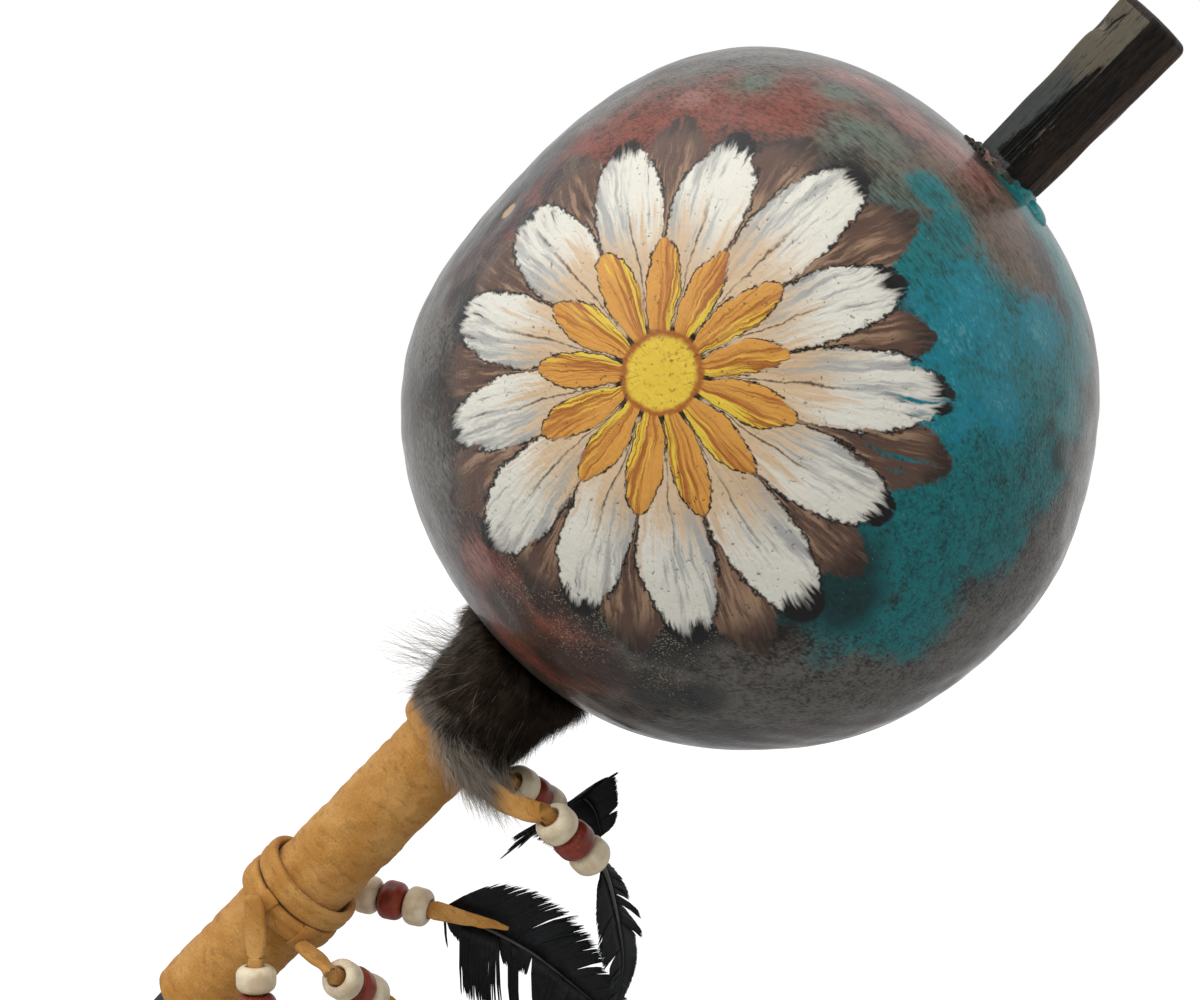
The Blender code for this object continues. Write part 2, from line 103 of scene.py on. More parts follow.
def ripple(points, wavelength, seed, waves=14):
    """Smooth random field of about -1 to 1: a sum of sine waves in random directions."""
    random = np.random.default_rng(seed)
    way = unit(random.normal(size=(waves, 3)))
    phase = random.uniform(0, 2 * np.pi, waves)
    return np.sin(points @ (way.T * 2 * np.pi / wavelength) + phase).sum(-1) / math.sqrt(waves)


def gourd_wall(longitude, latitude, inset):
    """Egg radius and height at each latitude, less the inset, grown by the shoulder share
    (twice sine times cosine, squared) and leaned over by the square of the radius."""
    upper = latitude > 0
    even = np.where(upper, UPPER_SHOULDER[0], LOWER_SHOULDER[0])
    lean = np.where(upper, UPPER_SHOULDER[1], LOWER_SHOULDER[1])
    size = 1 + np.sin(2 * latitude) ** 2 * (even - lean * np.cos(longitude))
    reach = np.where(upper, GOURD_TOP_HEIGHT, GOURD_BASE_HEIGHT) - inset
    radius = (GOURD_RADIUS - inset) * np.cos(latitude) * size
    under = radius * np.cos(longitude) - GOURD_SIDE_SWELL * (radius / GOURD_RADIUS) ** 2
    return held(under, radius * np.sin(longitude), GOURD_MIDDLE + reach * np.sin(latitude) * size)


def skinned(name, points, closed=False):
    """Mesh over one or many grids of points: quads between rows, each row a closed ring. The
    last row is joined to the first, or both are capped. Its faces are turned outwards."""
    points = points.reshape(-1, *points.shape[-3:])
    index = np.arange(points[..., 0].size).reshape(points.shape[:3])
    grid = np.concatenate([index, index[:, :1]], axis=1) if closed else index
    grid = np.concatenate([grid, grid[:, :, :1]], axis=2)
    corners = (grid[:, :-1, :-1], grid[:, :-1, 1:], grid[:, 1:, 1:], grid[:, 1:, :-1])
    faces = np.stack(corners, axis=-1).reshape(-1, 4).tolist()
    if not closed:
        faces += index[:, 0, ::-1].tolist() + index[:, -1].tolist()
    mesh = bpy.data.meshes.new(name)
    mesh.from_pydata(points.reshape(-1, 3), [], faces)
    turned = bmesh.new()
    turned.from_mesh(mesh)
    bmesh.ops.recalc_face_normals(turned, faces=turned.faces)
    turned.to_mesh(mesh)
    turned.free()
    mesh.shade_smooth()
    return mesh


def placed(name, data):
    """New object of some data, linked to the scene at the origin."""
    item = bpy.data.objects.new(name, data)
    bpy.context.scene.collection.objects.link(item)
    return item


def add_piece(mesh, material, body, slot, *nodes):
    """Piece of the mesh's name that rides a body, or is baked in place where the body is a tuple
    of two bodies and two points, and stands for the CAD nodes it covers."""
    piece = placed(mesh.name, mesh)
    mesh.materials.append(material)
    if isinstance(body, tuple):
        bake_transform(piece)
    else:
        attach(piece, body)
    if nodes:
        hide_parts(*nodes)
    return piece


def add_field(mesh, name, values):
    """Store one number, or one vector, for each vertex under a name that materials read."""
    kind, key = ("FLOAT", "value") if values.ndim == 1 else ("FLOAT_VECTOR", "vector")
    mesh.attributes.new(name, kind, "POINT").data.foreach_set(key, values.ravel())


GOURD_COLUMNS = 320
GOURD_OUTER_ROWS = 236
GOURD_INNER_ROWS = 26
longitude = np.linspace(-np.pi, np.pi, GOURD_COLUMNS, endpoint=False)
outer_latitude = np.linspace(np.arccos(TOP_HOLE_RADIUS / GOURD_RADIUS),
                             -np.arccos(BASE_HOLE_RADIUS / GOURD_RADIUS), GOURD_OUTER_ROWS)
inner_radius = GOURD_RADIUS - GOURD_WALL
inner_latitude = np.linspace(-np.arccos(BASE_HOLE_RADIUS / inner_radius),
                             np.arccos(TOP_HOLE_RADIUS / inner_radius), GOURD_INNER_ROWS)
outer = gourd_wall(longitude[None, :], outer_latitude[:, None], 0)
inner = gourd_wall(longitude[None, :], inner_latitude[:, None], GOURD_WALL)
outward = unit(outer - held(0.0, 0.0, GOURD_MIDDLE))

# The chip at the rim of the upper side, and broad dents and fine puckers of the dried skin,
# which fade out towards the holes. Angles are from the front, in degrees.
CHIP_PLACE = (-58, 1)
CHIP_WIDTH = 0.0022
CHIP_DEPTH = 0.0006
DENT_WIDTH, DENT_DEPTH = 0.045, 0.00045
PUCKER_WIDTH, PUCKER_DEPTH = 0.007, 0.00007
sine, cosine = np.sin(outer_latitude)[:, None], np.cos(outer_latitude)[:, None]


def way_from(place):
    """From a place on a unit ball, by its angles round and up in degrees, to each vertex of the
    outer wall: the way across, the way up and the angle between the two."""
    facing, rise = np.radians(place[0] - 90), np.radians(place[1])
    turn = longitude[None, :] - facing
    near = sine * np.sin(rise) + cosine * np.cos(rise) * np.cos(turn)
    upward = sine * np.cos(rise) - cosine * np.sin(rise) * np.cos(turn)
    return cosine * np.sin(turn), upward, np.arccos(np.clip(near, -1, 1))


def spread(place, width):
    """Bell of height 1 about a place on the gourd, of a width in degrees on its face."""
    return np.exp(-(np.degrees(way_from(place)[2]) / width) ** 2)


chip = spread(CHIP_PLACE, math.degrees(CHIP_WIDTH / GOURD_RADIUS))
dent = ripple(outer, DENT_WIDTH, 3) * DENT_DEPTH + ripple(outer, PUCKER_WIDTH, 4) * PUCKER_DEPTH
outer += outward * (dent * cosine - chip * CHIP_DEPTH)[..., None]
gourd_mesh = skinned("gourd_skin", np.vstack([outer, inner]), closed=True)

# Where each colour of the ground was dabbed on: angle round from the front, angle up towards
# the stub, and width of the dab, in degrees. The back is dabbed in the same way.
DABS = {
    # The grey along the left and the lower right limbs is partly a painted sheen.
    "grey": ((-60, 46, 9), (-57, 37, 8), (-60, 24, 8), (-64, 13, 9), (-68, 1, 9), (-60, -12, 9),
             (-53, -22, 9), (24, -39, 11), (38, -31, 13), (48, -22, 13), (57, -12, 13), (66, 1, 12),
             (72, 13, 11), (76, 24, 9), (83, 37, 8), (66, 40, 4), (-35, -38, 8), (-29, -48, 8),
             (-170, -50, 26), (100, 40, 18), (-110, -30, 17), (150, -40, 15), (-90, 32, 12),
             (112, 10, 13), (-138, 12, 11), (-96, -8, 10)),
    "rust": ((-38, 47, 10), (-42, 39, 10), (-43, 32, 10), (-46, 23, 10), (-51, 14, 9), (-52, 3, 8),
             (-54, -8, 7), (-7, -47, 9), (7, -44, 10), (17, -44, 9), (1, -55, 8), (13, -53, 8),
             (-4, -36, 7), (-27, 52, 6), (-96, 16, 16), (-112, 4, 15), (110, -24, 15), (126, -12, 14),
             (-160, -25, 14), (-146, -14, 12), (172, 52, 12), (-172, -36, 9), (-134, -1, 9),
             (-126, -24, 8), (178, -16, 7), (96, -36, 9), (138, -30, 8)),
    "brown": ((-14, 55, 7), (-2, 60, 9), (7, 65, 9), (24, 63, 9), (18, 53, 7), (38, 59, 7), (28, 57, 7),
              (14, 72, 9), (-160, 8, 9), (122, -40, 11), (-102, -14, 10), (160, -30, 9), (-120, 24, 9),
              (134, 6, 9)),
    "pink": ((-54, 58, 6), (-32, 65, 6), (-46, 62, 5), (-17, 71, 7), (-2, 71, 6), (-14, -44, 5),
             (-48, 34, 4), (130, 50, 12), (-118, 32, 7), (148, -28, 7), (-142, -34, 7), (116, 58, 7)),
    "olive": ((-24, 51, 7), (-17, 54, 6), (-42, 54, 5), (-3, 51, 8), (7, 56, 7), (-48, 43, 5),
              (15, 52, 6), (25, 51, 4), (-126, 62, 9), (-110, 40, 9), (150, 62, 9), (-152, 24, 8),
              (178, 32, 8), (136, 12, 7), (-100, 52, 7), (166, 40, 7)),
    "teal": ((7, 44, 8), (9, 54, 4), (-2, 56, 4), (46, 77, 6), (70, 72, 7), (71, 64, 8), (21, 45, 9),
             (38, 46, 11), (55, 49, 10), (46, 38, 12), (32, 34, 11), (33, 23, 12), (43, 25, 12),
             (37, 14, 13), (34, 6, 13), (40, 0, 11), (29, -3, 11), (48, 12, 10), (55, 22, 10), (53, 2, 8),
             (70, 56, 7), (66, 44, 7), (62, 33, 7), (30, 82, 5), (142, 32, 15), (160, 20, 16),
             (174, 2, 14), (-140, 46, 12), (-158, 34, 11), (120, 44, 10), (-172, 18, 9), (166, -14, 8),
             (124, 28, 8), (-126, 36, 7), (-174, -10, 7), (146, 12, 9)),
    "blue": ((24, 39, 10), (29, 32, 10), (35, 44, 8), (24, 47, 8), (32, 28, 8), (42, 37, 7), (47, 52, 7),
             (160, 14, 18)),
    # deep: a dark wash, partly dark paint and partly painted shade on the lower side.
    "deep": ((36, 3, 8), (40, -1, 8), (33, -5, 9), (-55, 0, 8), (-51, 11, 6), (33, -38, 8), (12, -31, 9),
             (7, -32, 9), (24, -26, 10), (-6, -33, 8), (24, -16, 10), (22, -42, 8), (14, -49, 9),
             (-1, -49, 9), (3, -38, 6), (66, 37, 4), (-52, -10, 8), (-64, 8, 12), (-60, -8, 11),
             (40, -34, 7)),
    "spatter": ((12, -31, 9), (5, -33, 9), (24, -26, 9), (-6, -34, 8), (25, -17, 7), (-2, -41, 7),
                (14, -40, 8), (32, -34, 6), (-24, -34, 7)),
}


def on_gourd(values):
    """Values of the outer wall's vertices, with zeros for the inner wall's."""
    flat = values.reshape(-1, *values.shape[2:])
    return np.concatenate([flat, np.zeros((inner[..., 0].size, *flat.shape[1:]))])


for colour, dabs in DABS.items():
    add_field(gourd_mesh, colour, on_gourd(np.max([spread(dab[:2], dab[2]) for dab in dabs], axis=0)))
add_field(gourd_mesh, "chip", on_gourd(chip))

# The painted rosette lies flat on the skin around its middle, which is near the front: the
# field holds the way from the middle across and up the gourd, in rosette radii.
ROSETTE_PLACE = (-6, 5)
ROSETTE_RADIUS = 0.050
across, upward, near = way_from(ROSETTE_PLACE)
stretch = near / np.maximum(np.sin(near), 1e-4) * GOURD_RADIUS / ROSETTE_RADIUS
rosette = np.stack([across * stretch, upward * stretch, np.zeros_like(near)], axis=-1)
add_field(gourd_mesh, "rosette", on_gourd(rosette))


def feed(tree, node, inputs):
    """Set each named input of a node to a constant, or link it to an output."""
    for slot, value in inputs.items():
        if isinstance(value, bpy.types.NodeSocket):
            tree.links.new(value, node.inputs[slot])
        else:
            node.inputs[slot].default_value = value


def add_node(tree, kind, inputs, **settings):
    """New node with its settings made and its inputs fed."""
    node = tree.nodes.new(kind)
    for name, value in settings.items():
        setattr(node, name, value)
    feed(tree, node, inputs)
    return node


class Field:
    """A number that varies over a surface: arithmetic on fields adds nodes to a material."""

    def __init__(self, tree, socket):
        self.tree, self.socket = tree, socket

    def work(self, operation, *others):
        """The field put through one operation, with other fields or numbers."""
        inputs = [getattr(value, "socket", value) for value in (self, *others)]
        node = add_node(self.tree, "ShaderNodeMath", dict(enumerate(inputs)), operation=operation)
        return Field(self.tree, node.outputs[0])

    def __add__(self, other):
        return self.work("ADD", other)

    def __sub__(self, other):
        return self.work("SUBTRACT", other)

    def __mul__(self, other):
        return self.work("MULTIPLY", other)

    def __pow__(self, other):
        return self.work("POWER", other)

    def step(self, low, high):
        """Smooth rise from 0 to 1 between two values of the field."""
        inputs = {"Value": self.socket, "From Min": low, "From Max": high}
        node = add_node(self.tree, "ShaderNodeMapRange", inputs, interpolation_type="SMOOTHSTEP")
        return Field(self.tree, node.outputs["Result"])

    def range(self, low, high):
        """The field's 0 to 1 stretched to run from one value to another."""
        return self.work("MULTIPLY_ADD", high - low, low)


class Finish:
    """Material built from fields: noise and stored fields in, colours laid one over another,
    roughness and bump out."""

    def __init__(self, name, colour, settings):
        self.material = bpy.data.materials.new(name)
        self.material.use_nodes = True
        self.tree = self.material.node_tree
        self.colour = colour
        self.shader = self.tree.nodes["Principled BSDF"]
        feed(self.tree, self.shader, settings)
        place = add_node(self.tree, "ShaderNodeTexCoord", {}).outputs["Object"]
        lean = {"Vector": place, "Rotation": (0.0, -STICK_LEAN, 0.0)}
        self.upright = add_node(self.tree, "ShaderNodeMapping", lean).outputs["Vector"]

    def stored(self, name, output="Fac"):
        """Field that the mesh stores under a name."""
        node = add_node(self.tree, "ShaderNodeAttribute", {}, attribute_name=name)
        return Field(self.tree, node.outputs[output])

    def split(self, socket):
        """The three parts of a vector."""
        node = add_node(self.tree, "ShaderNodeSeparateXYZ", {0: socket})
        return [Field(self.tree, output) for output in node.outputs]

    def joined(self, *fields):
        """Vector of three fields."""
        inputs = dict(enumerate(field.socket for field in fields))
        return add_node(self.tree, "ShaderNodeCombineXYZ", inputs).outputs[0]

    def noise(self, scale, detail=2.0, rough=0.55, stretch=(1, 1, 1), at=None):
        """Noise of about 0.5, at a scale per metre along the stick's own axes."""
        inputs = {0: at or self.upright, 1: stretch}
        pull = add_node(self.tree, "ShaderNodeVectorMath", inputs, operation="MULTIPLY")
        inputs = {"Vector": pull.outputs[0], "Scale": scale, "Detail": detail, "Roughness": rough}
        return Field(self.tree, add_node(self.tree, "ShaderNodeTexNoise", inputs).outputs["Fac"])

    def mix(self, below, above, share):
        """Colour that goes from one to another as the share goes from 0 to 1."""
        below, above = ((*part, 1.0) if isinstance(part, tuple) else part for part in (below, above))
        inputs = {"Factor": share.socket, 6: below, 7: above}
        return add_node(self.tree, "ShaderNodeMix", inputs, data_type="RGBA").outputs[2]

    def lay(self, colour, share):
        """Lay a colour over the colours so far."""
        self.colour = self.mix(self.colour, colour, share)

    def done(self, roughness, height, relief, strength=0.6):
        """Join the colours, roughness and relief, in metres, to the shader."""
        inputs = {"Height": height.socket, "Distance": relief, "Strength": strength}
        bump = add_node(self.tree, "ShaderNodeBump", inputs).outputs["Normal"]
        inputs = {"Base Color": self.colour, "Roughness": roughness.socket, "Normal": bump}
        feed(self.tree, self.shader, inputs)
        return self.material


# The ground: a near-black stain, then grey, rust, pink, olive and teal, each stippled over the
# one below it, with bright blue brushed into the teal and a dark wash with tan spatter over it.
# The wash is partly dark paint and partly painted shade that darkens the lower side.
# A layer has its dark and light colour, the two edges of its cover and the scale of its blotches.
VARNISH = {"Specular IOR Level": 0.12, "Coat Weight": 0.32, "Coat Roughness": 0.15}
GROUND_DARK = (0.012, 0.009, 0.007)
GROUND_BROWN = (0.060, 0.042, 0.032)
PINK = (0.310, 0.145, 0.120)
OLIVE_DARK = (0.038, 0.043, 0.034)
TEAL = (0.006, 0.172, 0.182)
PALE_TEAL_AND_SHEEN = (0.120, 0.340, 0.320)
WASH_AND_SHADE = (0.004, 0.008, 0.008)
SPATTER = (0.330, 0.260, 0.180)
LAYERS = {
    # grey: partly a painted sheen where it runs along the limbs.
    "grey": ((0.026, 0.021, 0.018), (0.135, 0.125, 0.108), 0.10, 0.80, 61),
    "rust": ((0.070, 0.020, 0.014), (0.240, 0.064, 0.040), 0.12, 0.82, 67),
    "brown": ((0.050, 0.036, 0.026), (0.160, 0.105, 0.075), 0.16, 0.78, 73),
    "pink": ((0.130, 0.055, 0.042), PINK, 0.22, 1.00, 79),
    "olive": (OLIVE_DARK, (0.125, 0.160, 0.122), 0.14, 1.10, 83),
    "teal": ((0.003, 0.055, 0.060), TEAL, 0.14, 0.72, 89),
    "blue": (TEAL, (0.004, 0.210, 0.290), 0.26, 0.96, 97),
}
gourd_paint = Finish("painted_gourd", GROUND_DARK, VARNISH)
grain = gourd_paint.noise(1500, 2)
speck = gourd_paint.noise(620, 4, 0.70)
mottle = gourd_paint.noise(130, 5, 0.66)
cloud = gourd_paint.noise(42, 3)
stroke = gourd_paint.noise(300, 4, 0.68, (0.22, 1.0, 1.0))
hairline = gourd_paint.noise(1800, 3, 0.62, (0.13, 1.0, 1.0))
broken = (mottle - 0.5) * 1.0 + (speck - 0.5) * 0.9 + (stroke - 0.5) * 0.7 + (hairline - 0.5) * 1.1
brushed = (stroke * 0.25 + speck * 0.3 + hairline * 0.45).step(0.37, 0.58)
gourd_paint.lay(GROUND_BROWN, (cloud + broken * 0.6).step(0.30, 0.70))
for colour, (dark, light, low, high, blotches) in LAYERS.items():
    uneven = (gourd_paint.noise(blotches, 3, 0.6) - 0.5) * 0.9 + broken * 0.46
    cover = (gourd_paint.stored(colour) + uneven).step(low, high)
    gourd_paint.lay(gourd_paint.mix(dark, light, brushed), cover)
# Pale teal over the peaks of the blue is partly a painted sheen.
gourd_paint.lay(PALE_TEAL_AND_SHEEN, (gourd_paint.stored("blue") + broken * 1.1).step(0.95, 1.25) * 0.5)
# Dark wash, partly dark paint and partly painted shade that darkens the lower side.
gourd_paint.lay(WASH_AND_SHADE, (gourd_paint.stored("deep") + broken * 0.45).step(0.35, 0.85) * 0.80)
drops = gourd_paint.noise(2600, 1) + (speck - 0.5) * 0.35 + gourd_paint.stored("spatter") * 0.19
gourd_paint.lay(SPATTER, drops.step(0.75, 0.80) * 0.65)

# The rosette: brown leaves behind cream petals with black tips, gold petals over their feet,
# and a gold boss in the middle, all brushed outwards from the middle.
ROSETTE_TURNS = 13
CREAM = (0.800, 0.775, 0.680)
CREAM_SHADE = (0.430, 0.425, 0.400)
PEACH = (0.640, 0.420, 0.220)
TAN = (0.360, 0.225, 0.140)
BARK = (0.110, 0.060, 0.042)
INK = (0.006, 0.005, 0.005)
GOLD = (0.700, 0.330, 0.065)
GOLD_DEEP = (0.400, 0.130, 0.025)
YELLOW = (0.800, 0.560, 0.060)
BOSS_RADIUS = 0.155
BOSS_FACE = 0.130
across, upward = gourd_paint.split(gourd_paint.stored("rosette", "Vector").socket)[:2]
across = across + (mottle - 0.5) * 0.06
upward = upward + (cloud - 0.5) * 0.10
reach = (across * across + upward * upward) ** 0.5
bearing = upward.work("ARCTAN2", across) * (0.5 / math.pi)
bristle = gourd_paint.noise(900, 2, 0.6)


def petals(offset, foot, tip, width):
    """Ring of pointed petals, each a little longer or shorter than the next: how far inside a
    petal's edge, how far along it, how far to its side, and the streaks that run along it."""
    turn = bearing * ROSETTE_TURNS + offset
    side = turn - turn.work("FLOOR") - 0.5
    number = turn.work("FLOOR").work("FLOORED_MODULO", ROSETTE_TURNS)
    longer = gourd_paint.noise(1.0, 0, 0.5, (7.3, 3.1, 1.7), gourd_paint.joined(number, number, number))
    along = (reach * longer.range(1.22, 0.80) - foot) * (1 / (tip - foot))
    within = along.step(0.0, 0.03) * along.step(1.0, 0.97)
    along = along.work("MINIMUM", 1.0).work("MAXIMUM", 0.0)
    edge = ((along ** 0.75) * math.pi).work("SINE").work("MAXIMUM", 0.0) ** 0.7
    streak = gourd_paint.noise(1.0, 3, 0.65, (13.0, 3.2, 4.7), gourd_paint.joined(side, reach, number))
    inside = edge * width - side.work("ABSOLUTE") + (bristle - 0.5) * 0.12 + (streak - 0.5) * 0.12
    return inside, along, side, streak, within


inside, along, side, streak, within = petals(offset=0.5, foot=0.30, tip=1.04, width=0.50)
leaf = gourd_paint.mix(BARK, TAN, (streak + (along - 0.5) * -0.2).step(0.42, 0.62))
leaf = gourd_paint.mix(leaf, INK, (along + (streak - 0.5) * 0.5).step(0.78, 0.92) * 0.7)
gourd_paint.lay(leaf, inside.step(0.0, 0.06) * within * (streak + 0.2).step(0.45, 0.60))
paint_height = inside.step(0.0, 0.08) * within * streak

inside, along, side, streak, within = petals(offset=0.0, foot=0.16, tip=0.98, width=0.49)
gourd_paint.lay(INK, (inside + 0.035).step(0.0, 0.035) * within * (streak + 0.3).step(0.66, 0.78))
petal = gourd_paint.mix(CREAM_SHADE, CREAM, (streak - (side + 0.1) * 0.35).step(0.28, 0.50))
petal = gourd_paint.mix(petal, PEACH, (streak * 0.8 - along * 0.9 + 0.3).step(0.16, 0.42) * 0.8)
vein = (side.work("ABSOLUTE") * -1.0 + (bristle - 0.5) * 0.05 + 0.030).step(0.0, 0.03)
petal = gourd_paint.mix(petal, INK, vein * along.step(0.72, 0.40) * (streak + 0.2).step(0.55, 0.70) * 0.8)
petal = gourd_paint.mix(petal, INK, (along + (streak - 0.5) * 0.34).step(0.86, 0.93))
gourd_paint.lay(petal, inside.step(0.0, 0.04) * within * (streak - along * 0.25 + 0.32).step(0.38, 0.50))
paint_height = paint_height + inside.step(0.0, 0.08) * within * (streak + 0.3)

inside, along, side, streak, within = petals(offset=0.5, foot=0.07, tip=0.48, width=0.46)
gourd_paint.lay(INK, (inside + 0.035).step(0.0, 0.03) * within * (streak + 0.25).step(0.58, 0.74))
petal = gourd_paint.mix(GOLD_DEEP, GOLD, (streak + side * 0.4).step(0.35, 0.58))
petal = gourd_paint.mix(petal, YELLOW, (streak - side * 0.5 - along * 0.1).step(0.52, 0.66))
gourd_paint.lay(petal, inside.step(0.0, 0.03) * within)
paint_height = paint_height + inside.step(0.0, 0.08) * within * (streak + 0.4)

boss = reach * -1.0 + (bristle - 0.5) * 0.02
gourd_paint.lay(GOLD_DEEP, (boss + BOSS_RADIUS).step(0.0, 0.015))
rings = (reach * 60.0).work("SINE") * 0.006
gourd_paint.lay(YELLOW, (boss + BOSS_FACE + rings).step(0.0, 0.02) * (bristle + 0.3).step(0.5, 0.75))

# Wear: bare dark skin through the paint in specks, and the tan wood of the chip.
CHIP_TAN = (0.480, 0.330, 0.190)
SKIN_RELIEF = 0.0005
gourd_paint.lay(GROUND_DARK, (speck * 0.6 + grain * 0.4).step(0.41, 0.34) * 0.65)
gourd_paint.lay(CHIP_TAN, (gourd_paint.stored("chip") + broken * 0.3).step(0.45, 0.65))
pebble = gourd_paint.noise(780, 1)
skin_height = (pebble * 0.50 + grain * 0.20 + speck * 0.30 + mottle * 0.5 + hairline * 0.45
               + paint_height * 0.35)
skin_gloss = (mottle + (speck - 0.5) * 0.6).step(0.2, 0.8).range(0.26, 0.48)
skin = gourd_paint.done(skin_gloss, skin_height, SKIN_RELIEF)
add_piece(gourd_mesh, skin, "rattle", "painted_gourd", "gourd_shell")

# Stick
# One stick, whittled to eight uneven flats and stained black, runs from the grip through the
# gourd to the stub above it. The stub has a torn strip of fibres and a chip near its tip.
STICK_CORNERS = (26, 78, 122, 166, 210, 274, 320, 350)
BUTT_END = -0.045
STUB_TIP = 0.241
STICK_HEIGHTS = (BUTT_END, 0.074, 0.198, 0.1995, 0.2035, STUB_TIP)
STICK_RADII = (0.0064, 0.0064, 0.0069, 0.0069, 0.0076, 0.0082)
STICK_COLUMNS = 180
CORNER_SOFTNESS = 0.00012
END_ROUND = 0.0014
END_SHRINK = (0.99, 0.965, 0.93, 0.88, 0.80, 0.55, 0.25, 0.02)
END_RISE = (0.0004, 0.0008, 0.0011, 0.00135, 0.0015, 0.0017, 0.0018, 0.00184)
STICK_ROWS = ((BUTT_END + END_ROUND, 0.0, 12), (0.01, 0.195, 24), (0.198, STUB_TIP - END_ROUND, 170))
WHITTLE_WIDTH, WHITTLE_DEPTH = 0.011, 0.00012
TORN_ANGLE, TORN_WIDTHS, TORN_DEPTH = 272, (24, 3), 0.0001
TORN_HEIGHTS = (0.2035, 0.2045, 0.2270, 0.2300)
FIBRE_WIDTH, FIBRE_DEPTH = 0.004, 0.00028
CHIP_ANGLE, CHIP_SPREAD = 206, 22
CHIP_HEIGHT, CHIP_HALF_HEIGHT, CHIP_CUT = 0.2335, 0.0016, 0.0011
CRACK_ANGLE, CRACK_SPREAD, CRACK_SLANT, CRACK_DEPTH = 222, 2.2, 2600, 0.0003
CRACK_HEIGHTS = (-0.0015, 0, 0.004, 0.005)
RIDGE_ANGLE, RIDGE_SPREAD = 274.5, 2.2
RIDGE_HEIGHTS = (0.206, 0.210, 0.226, 0.234)
UPPER_FLAT = (205, 212, 272, 276)
SIDE_FLAT = (316, 324, 352, 358)
FADE_IN_AND_OUT = (0, 1, 1, 0)
TIP_HEIGHTS = (0.2135, STUB_TIP - 0.006)


def full_turn(count):
    """Even angles, once round."""
    return np.linspace(0, 2 * np.pi, count, endpoint=False)


def flats(angle):
    """Eight-sided section of unit corner radius: each flat's distance over the cosine of the
    angle from it, and a soft least of them, which rounds the corners."""
    corners = np.radians(np.array(STICK_CORNERS + (STICK_CORNERS[0] + 360,)))
    facing = (corners[1:] + corners[:-1]) / 2
    near = np.cos((corners[1:] - corners[:-1]) / 2)
    reach = near / np.maximum(np.cos(angle[..., None] - facing), 0.2)
    softness = CORNER_SOFTNESS / STICK_RADII[0]
    return -softness * np.log(np.exp(-reach / softness).sum(-1))


def bell(values, middle, width):
    """Bump of height 1 about a middle, of a width."""
    return np.exp(-((values - middle) / width) ** 2)


stick_angle = full_turn(STICK_COLUMNS)[None, :]
stick_height = np.concatenate([np.linspace(*rows) for rows in STICK_ROWS])[:, None]
end_shrink, end_rise = np.array(END_SHRINK)[:, None], np.array(END_RISE)[:, None]
stick_radius = np.interp(stick_height, STICK_HEIGHTS, STICK_RADII) * flats(stick_angle)
degrees = np.degrees(stick_angle)
torn_width = np.interp(stick_height, TORN_HEIGHTS[1::2], TORN_WIDTHS)
torn = bell(degrees, TORN_ANGLE - torn_width * 0.6, torn_width)
torn = torn * np.interp(stick_height, TORN_HEIGHTS, FADE_IN_AND_OUT)
above_chip = stick_height - CHIP_HEIGHT
crack = bell(degrees, CRACK_ANGLE + above_chip * CRACK_SLANT, CRACK_SPREAD)
crack = crack * np.interp(above_chip, CRACK_HEIGHTS, FADE_IN_AND_OUT)
nick = bell(degrees, CHIP_ANGLE, CHIP_SPREAD) * bell(above_chip, 0, CHIP_HALF_HEIGHT)
ridge = bell(degrees, RIDGE_ANGLE, RIDGE_SPREAD) * np.interp(stick_height, RIDGE_HEIGHTS, (0.4, 1, 0.6, 0.3))
whittled = ripple(round_stick(stick_radius, stick_angle, stick_height), WHITTLE_WIDTH, 21) * WHITTLE_DEPTH
fibre = ripple(held(degrees / 400, 0, stick_height / 14), FIBRE_WIDTH, 22)
stick_radius = (stick_radius + whittled - nick * CHIP_CUT - crack * CRACK_DEPTH
                + torn * (fibre * FIBRE_DEPTH - TORN_DEPTH))
butt_rows = round_stick(stick_radius[:1] * end_shrink[::-1], stick_angle,
                        BUTT_END - end_rise[::-1] + END_ROUND)
body_rows = round_stick(stick_radius, stick_angle, stick_height)[1:-1]
tip_rows = round_stick(stick_radius[-1:] * end_shrink, stick_angle, STUB_TIP - END_ROUND + end_rise)
stick_mesh = skinned("whittled_stick", np.vstack([butt_rows, body_rows, tip_rows]))
for name, values in (("torn", torn), ("nick", nick), ("crack", crack), ("ridge", ridge),
                     ("upper_flat", np.interp(degrees, UPPER_FLAT, FADE_IN_AND_OUT)),
                     ("side_flat", np.interp(degrees, SIDE_FLAT, FADE_IN_AND_OUT)),
                     ("tip", np.interp(stick_height, TIP_HEIGHTS, (0, 1)))):
    rows = (values + 0 * stick_radius)[1:-1]
    ends = ((len(end_rise), len(end_rise)), (0, 0))
    add_field(stick_mesh, name, np.pad(rows, ends, mode="edge" if name == "tip" else "constant").ravel())

STAIN_BLACK = (0.004, 0.0035, 0.003)
STAIN_BROWN = (0.026, 0.015, 0.009)
# Slate and olive are painted light: they make the upper flat paler where the light falls on it.
LIT_FLAT_SLATE = (0.044, 0.050, 0.048)
LIT_FLAT_OLIVE = (0.105, 0.088, 0.060)
STAIN_RED = (0.070, 0.040, 0.024)
STAIN_WORN = (0.200, 0.150, 0.110)
STICK_RELIEF = 0.0005
stain = Finish("dark_stick", STAIN_BLACK, {"Specular IOR Level": 0.20})
long_grain = stain.noise(1100, 3, 0.6, (1.0, 1.0, 0.05))
pores = stain.noise(2400, 3, 0.7, (1.0, 1.0, 0.16))
patch = stain.noise(260, 4, 0.65, (1.0, 1.0, 0.30))
flecks = (pores - 0.5) * 1.6 + (long_grain - 0.5) * 1.2
torn_strip = (stain.stored("torn") + flecks * 0.7).step(0.38, 0.55)
stain.lay(STAIN_BROWN, (patch + flecks * 0.7).step(0.30, 0.72))
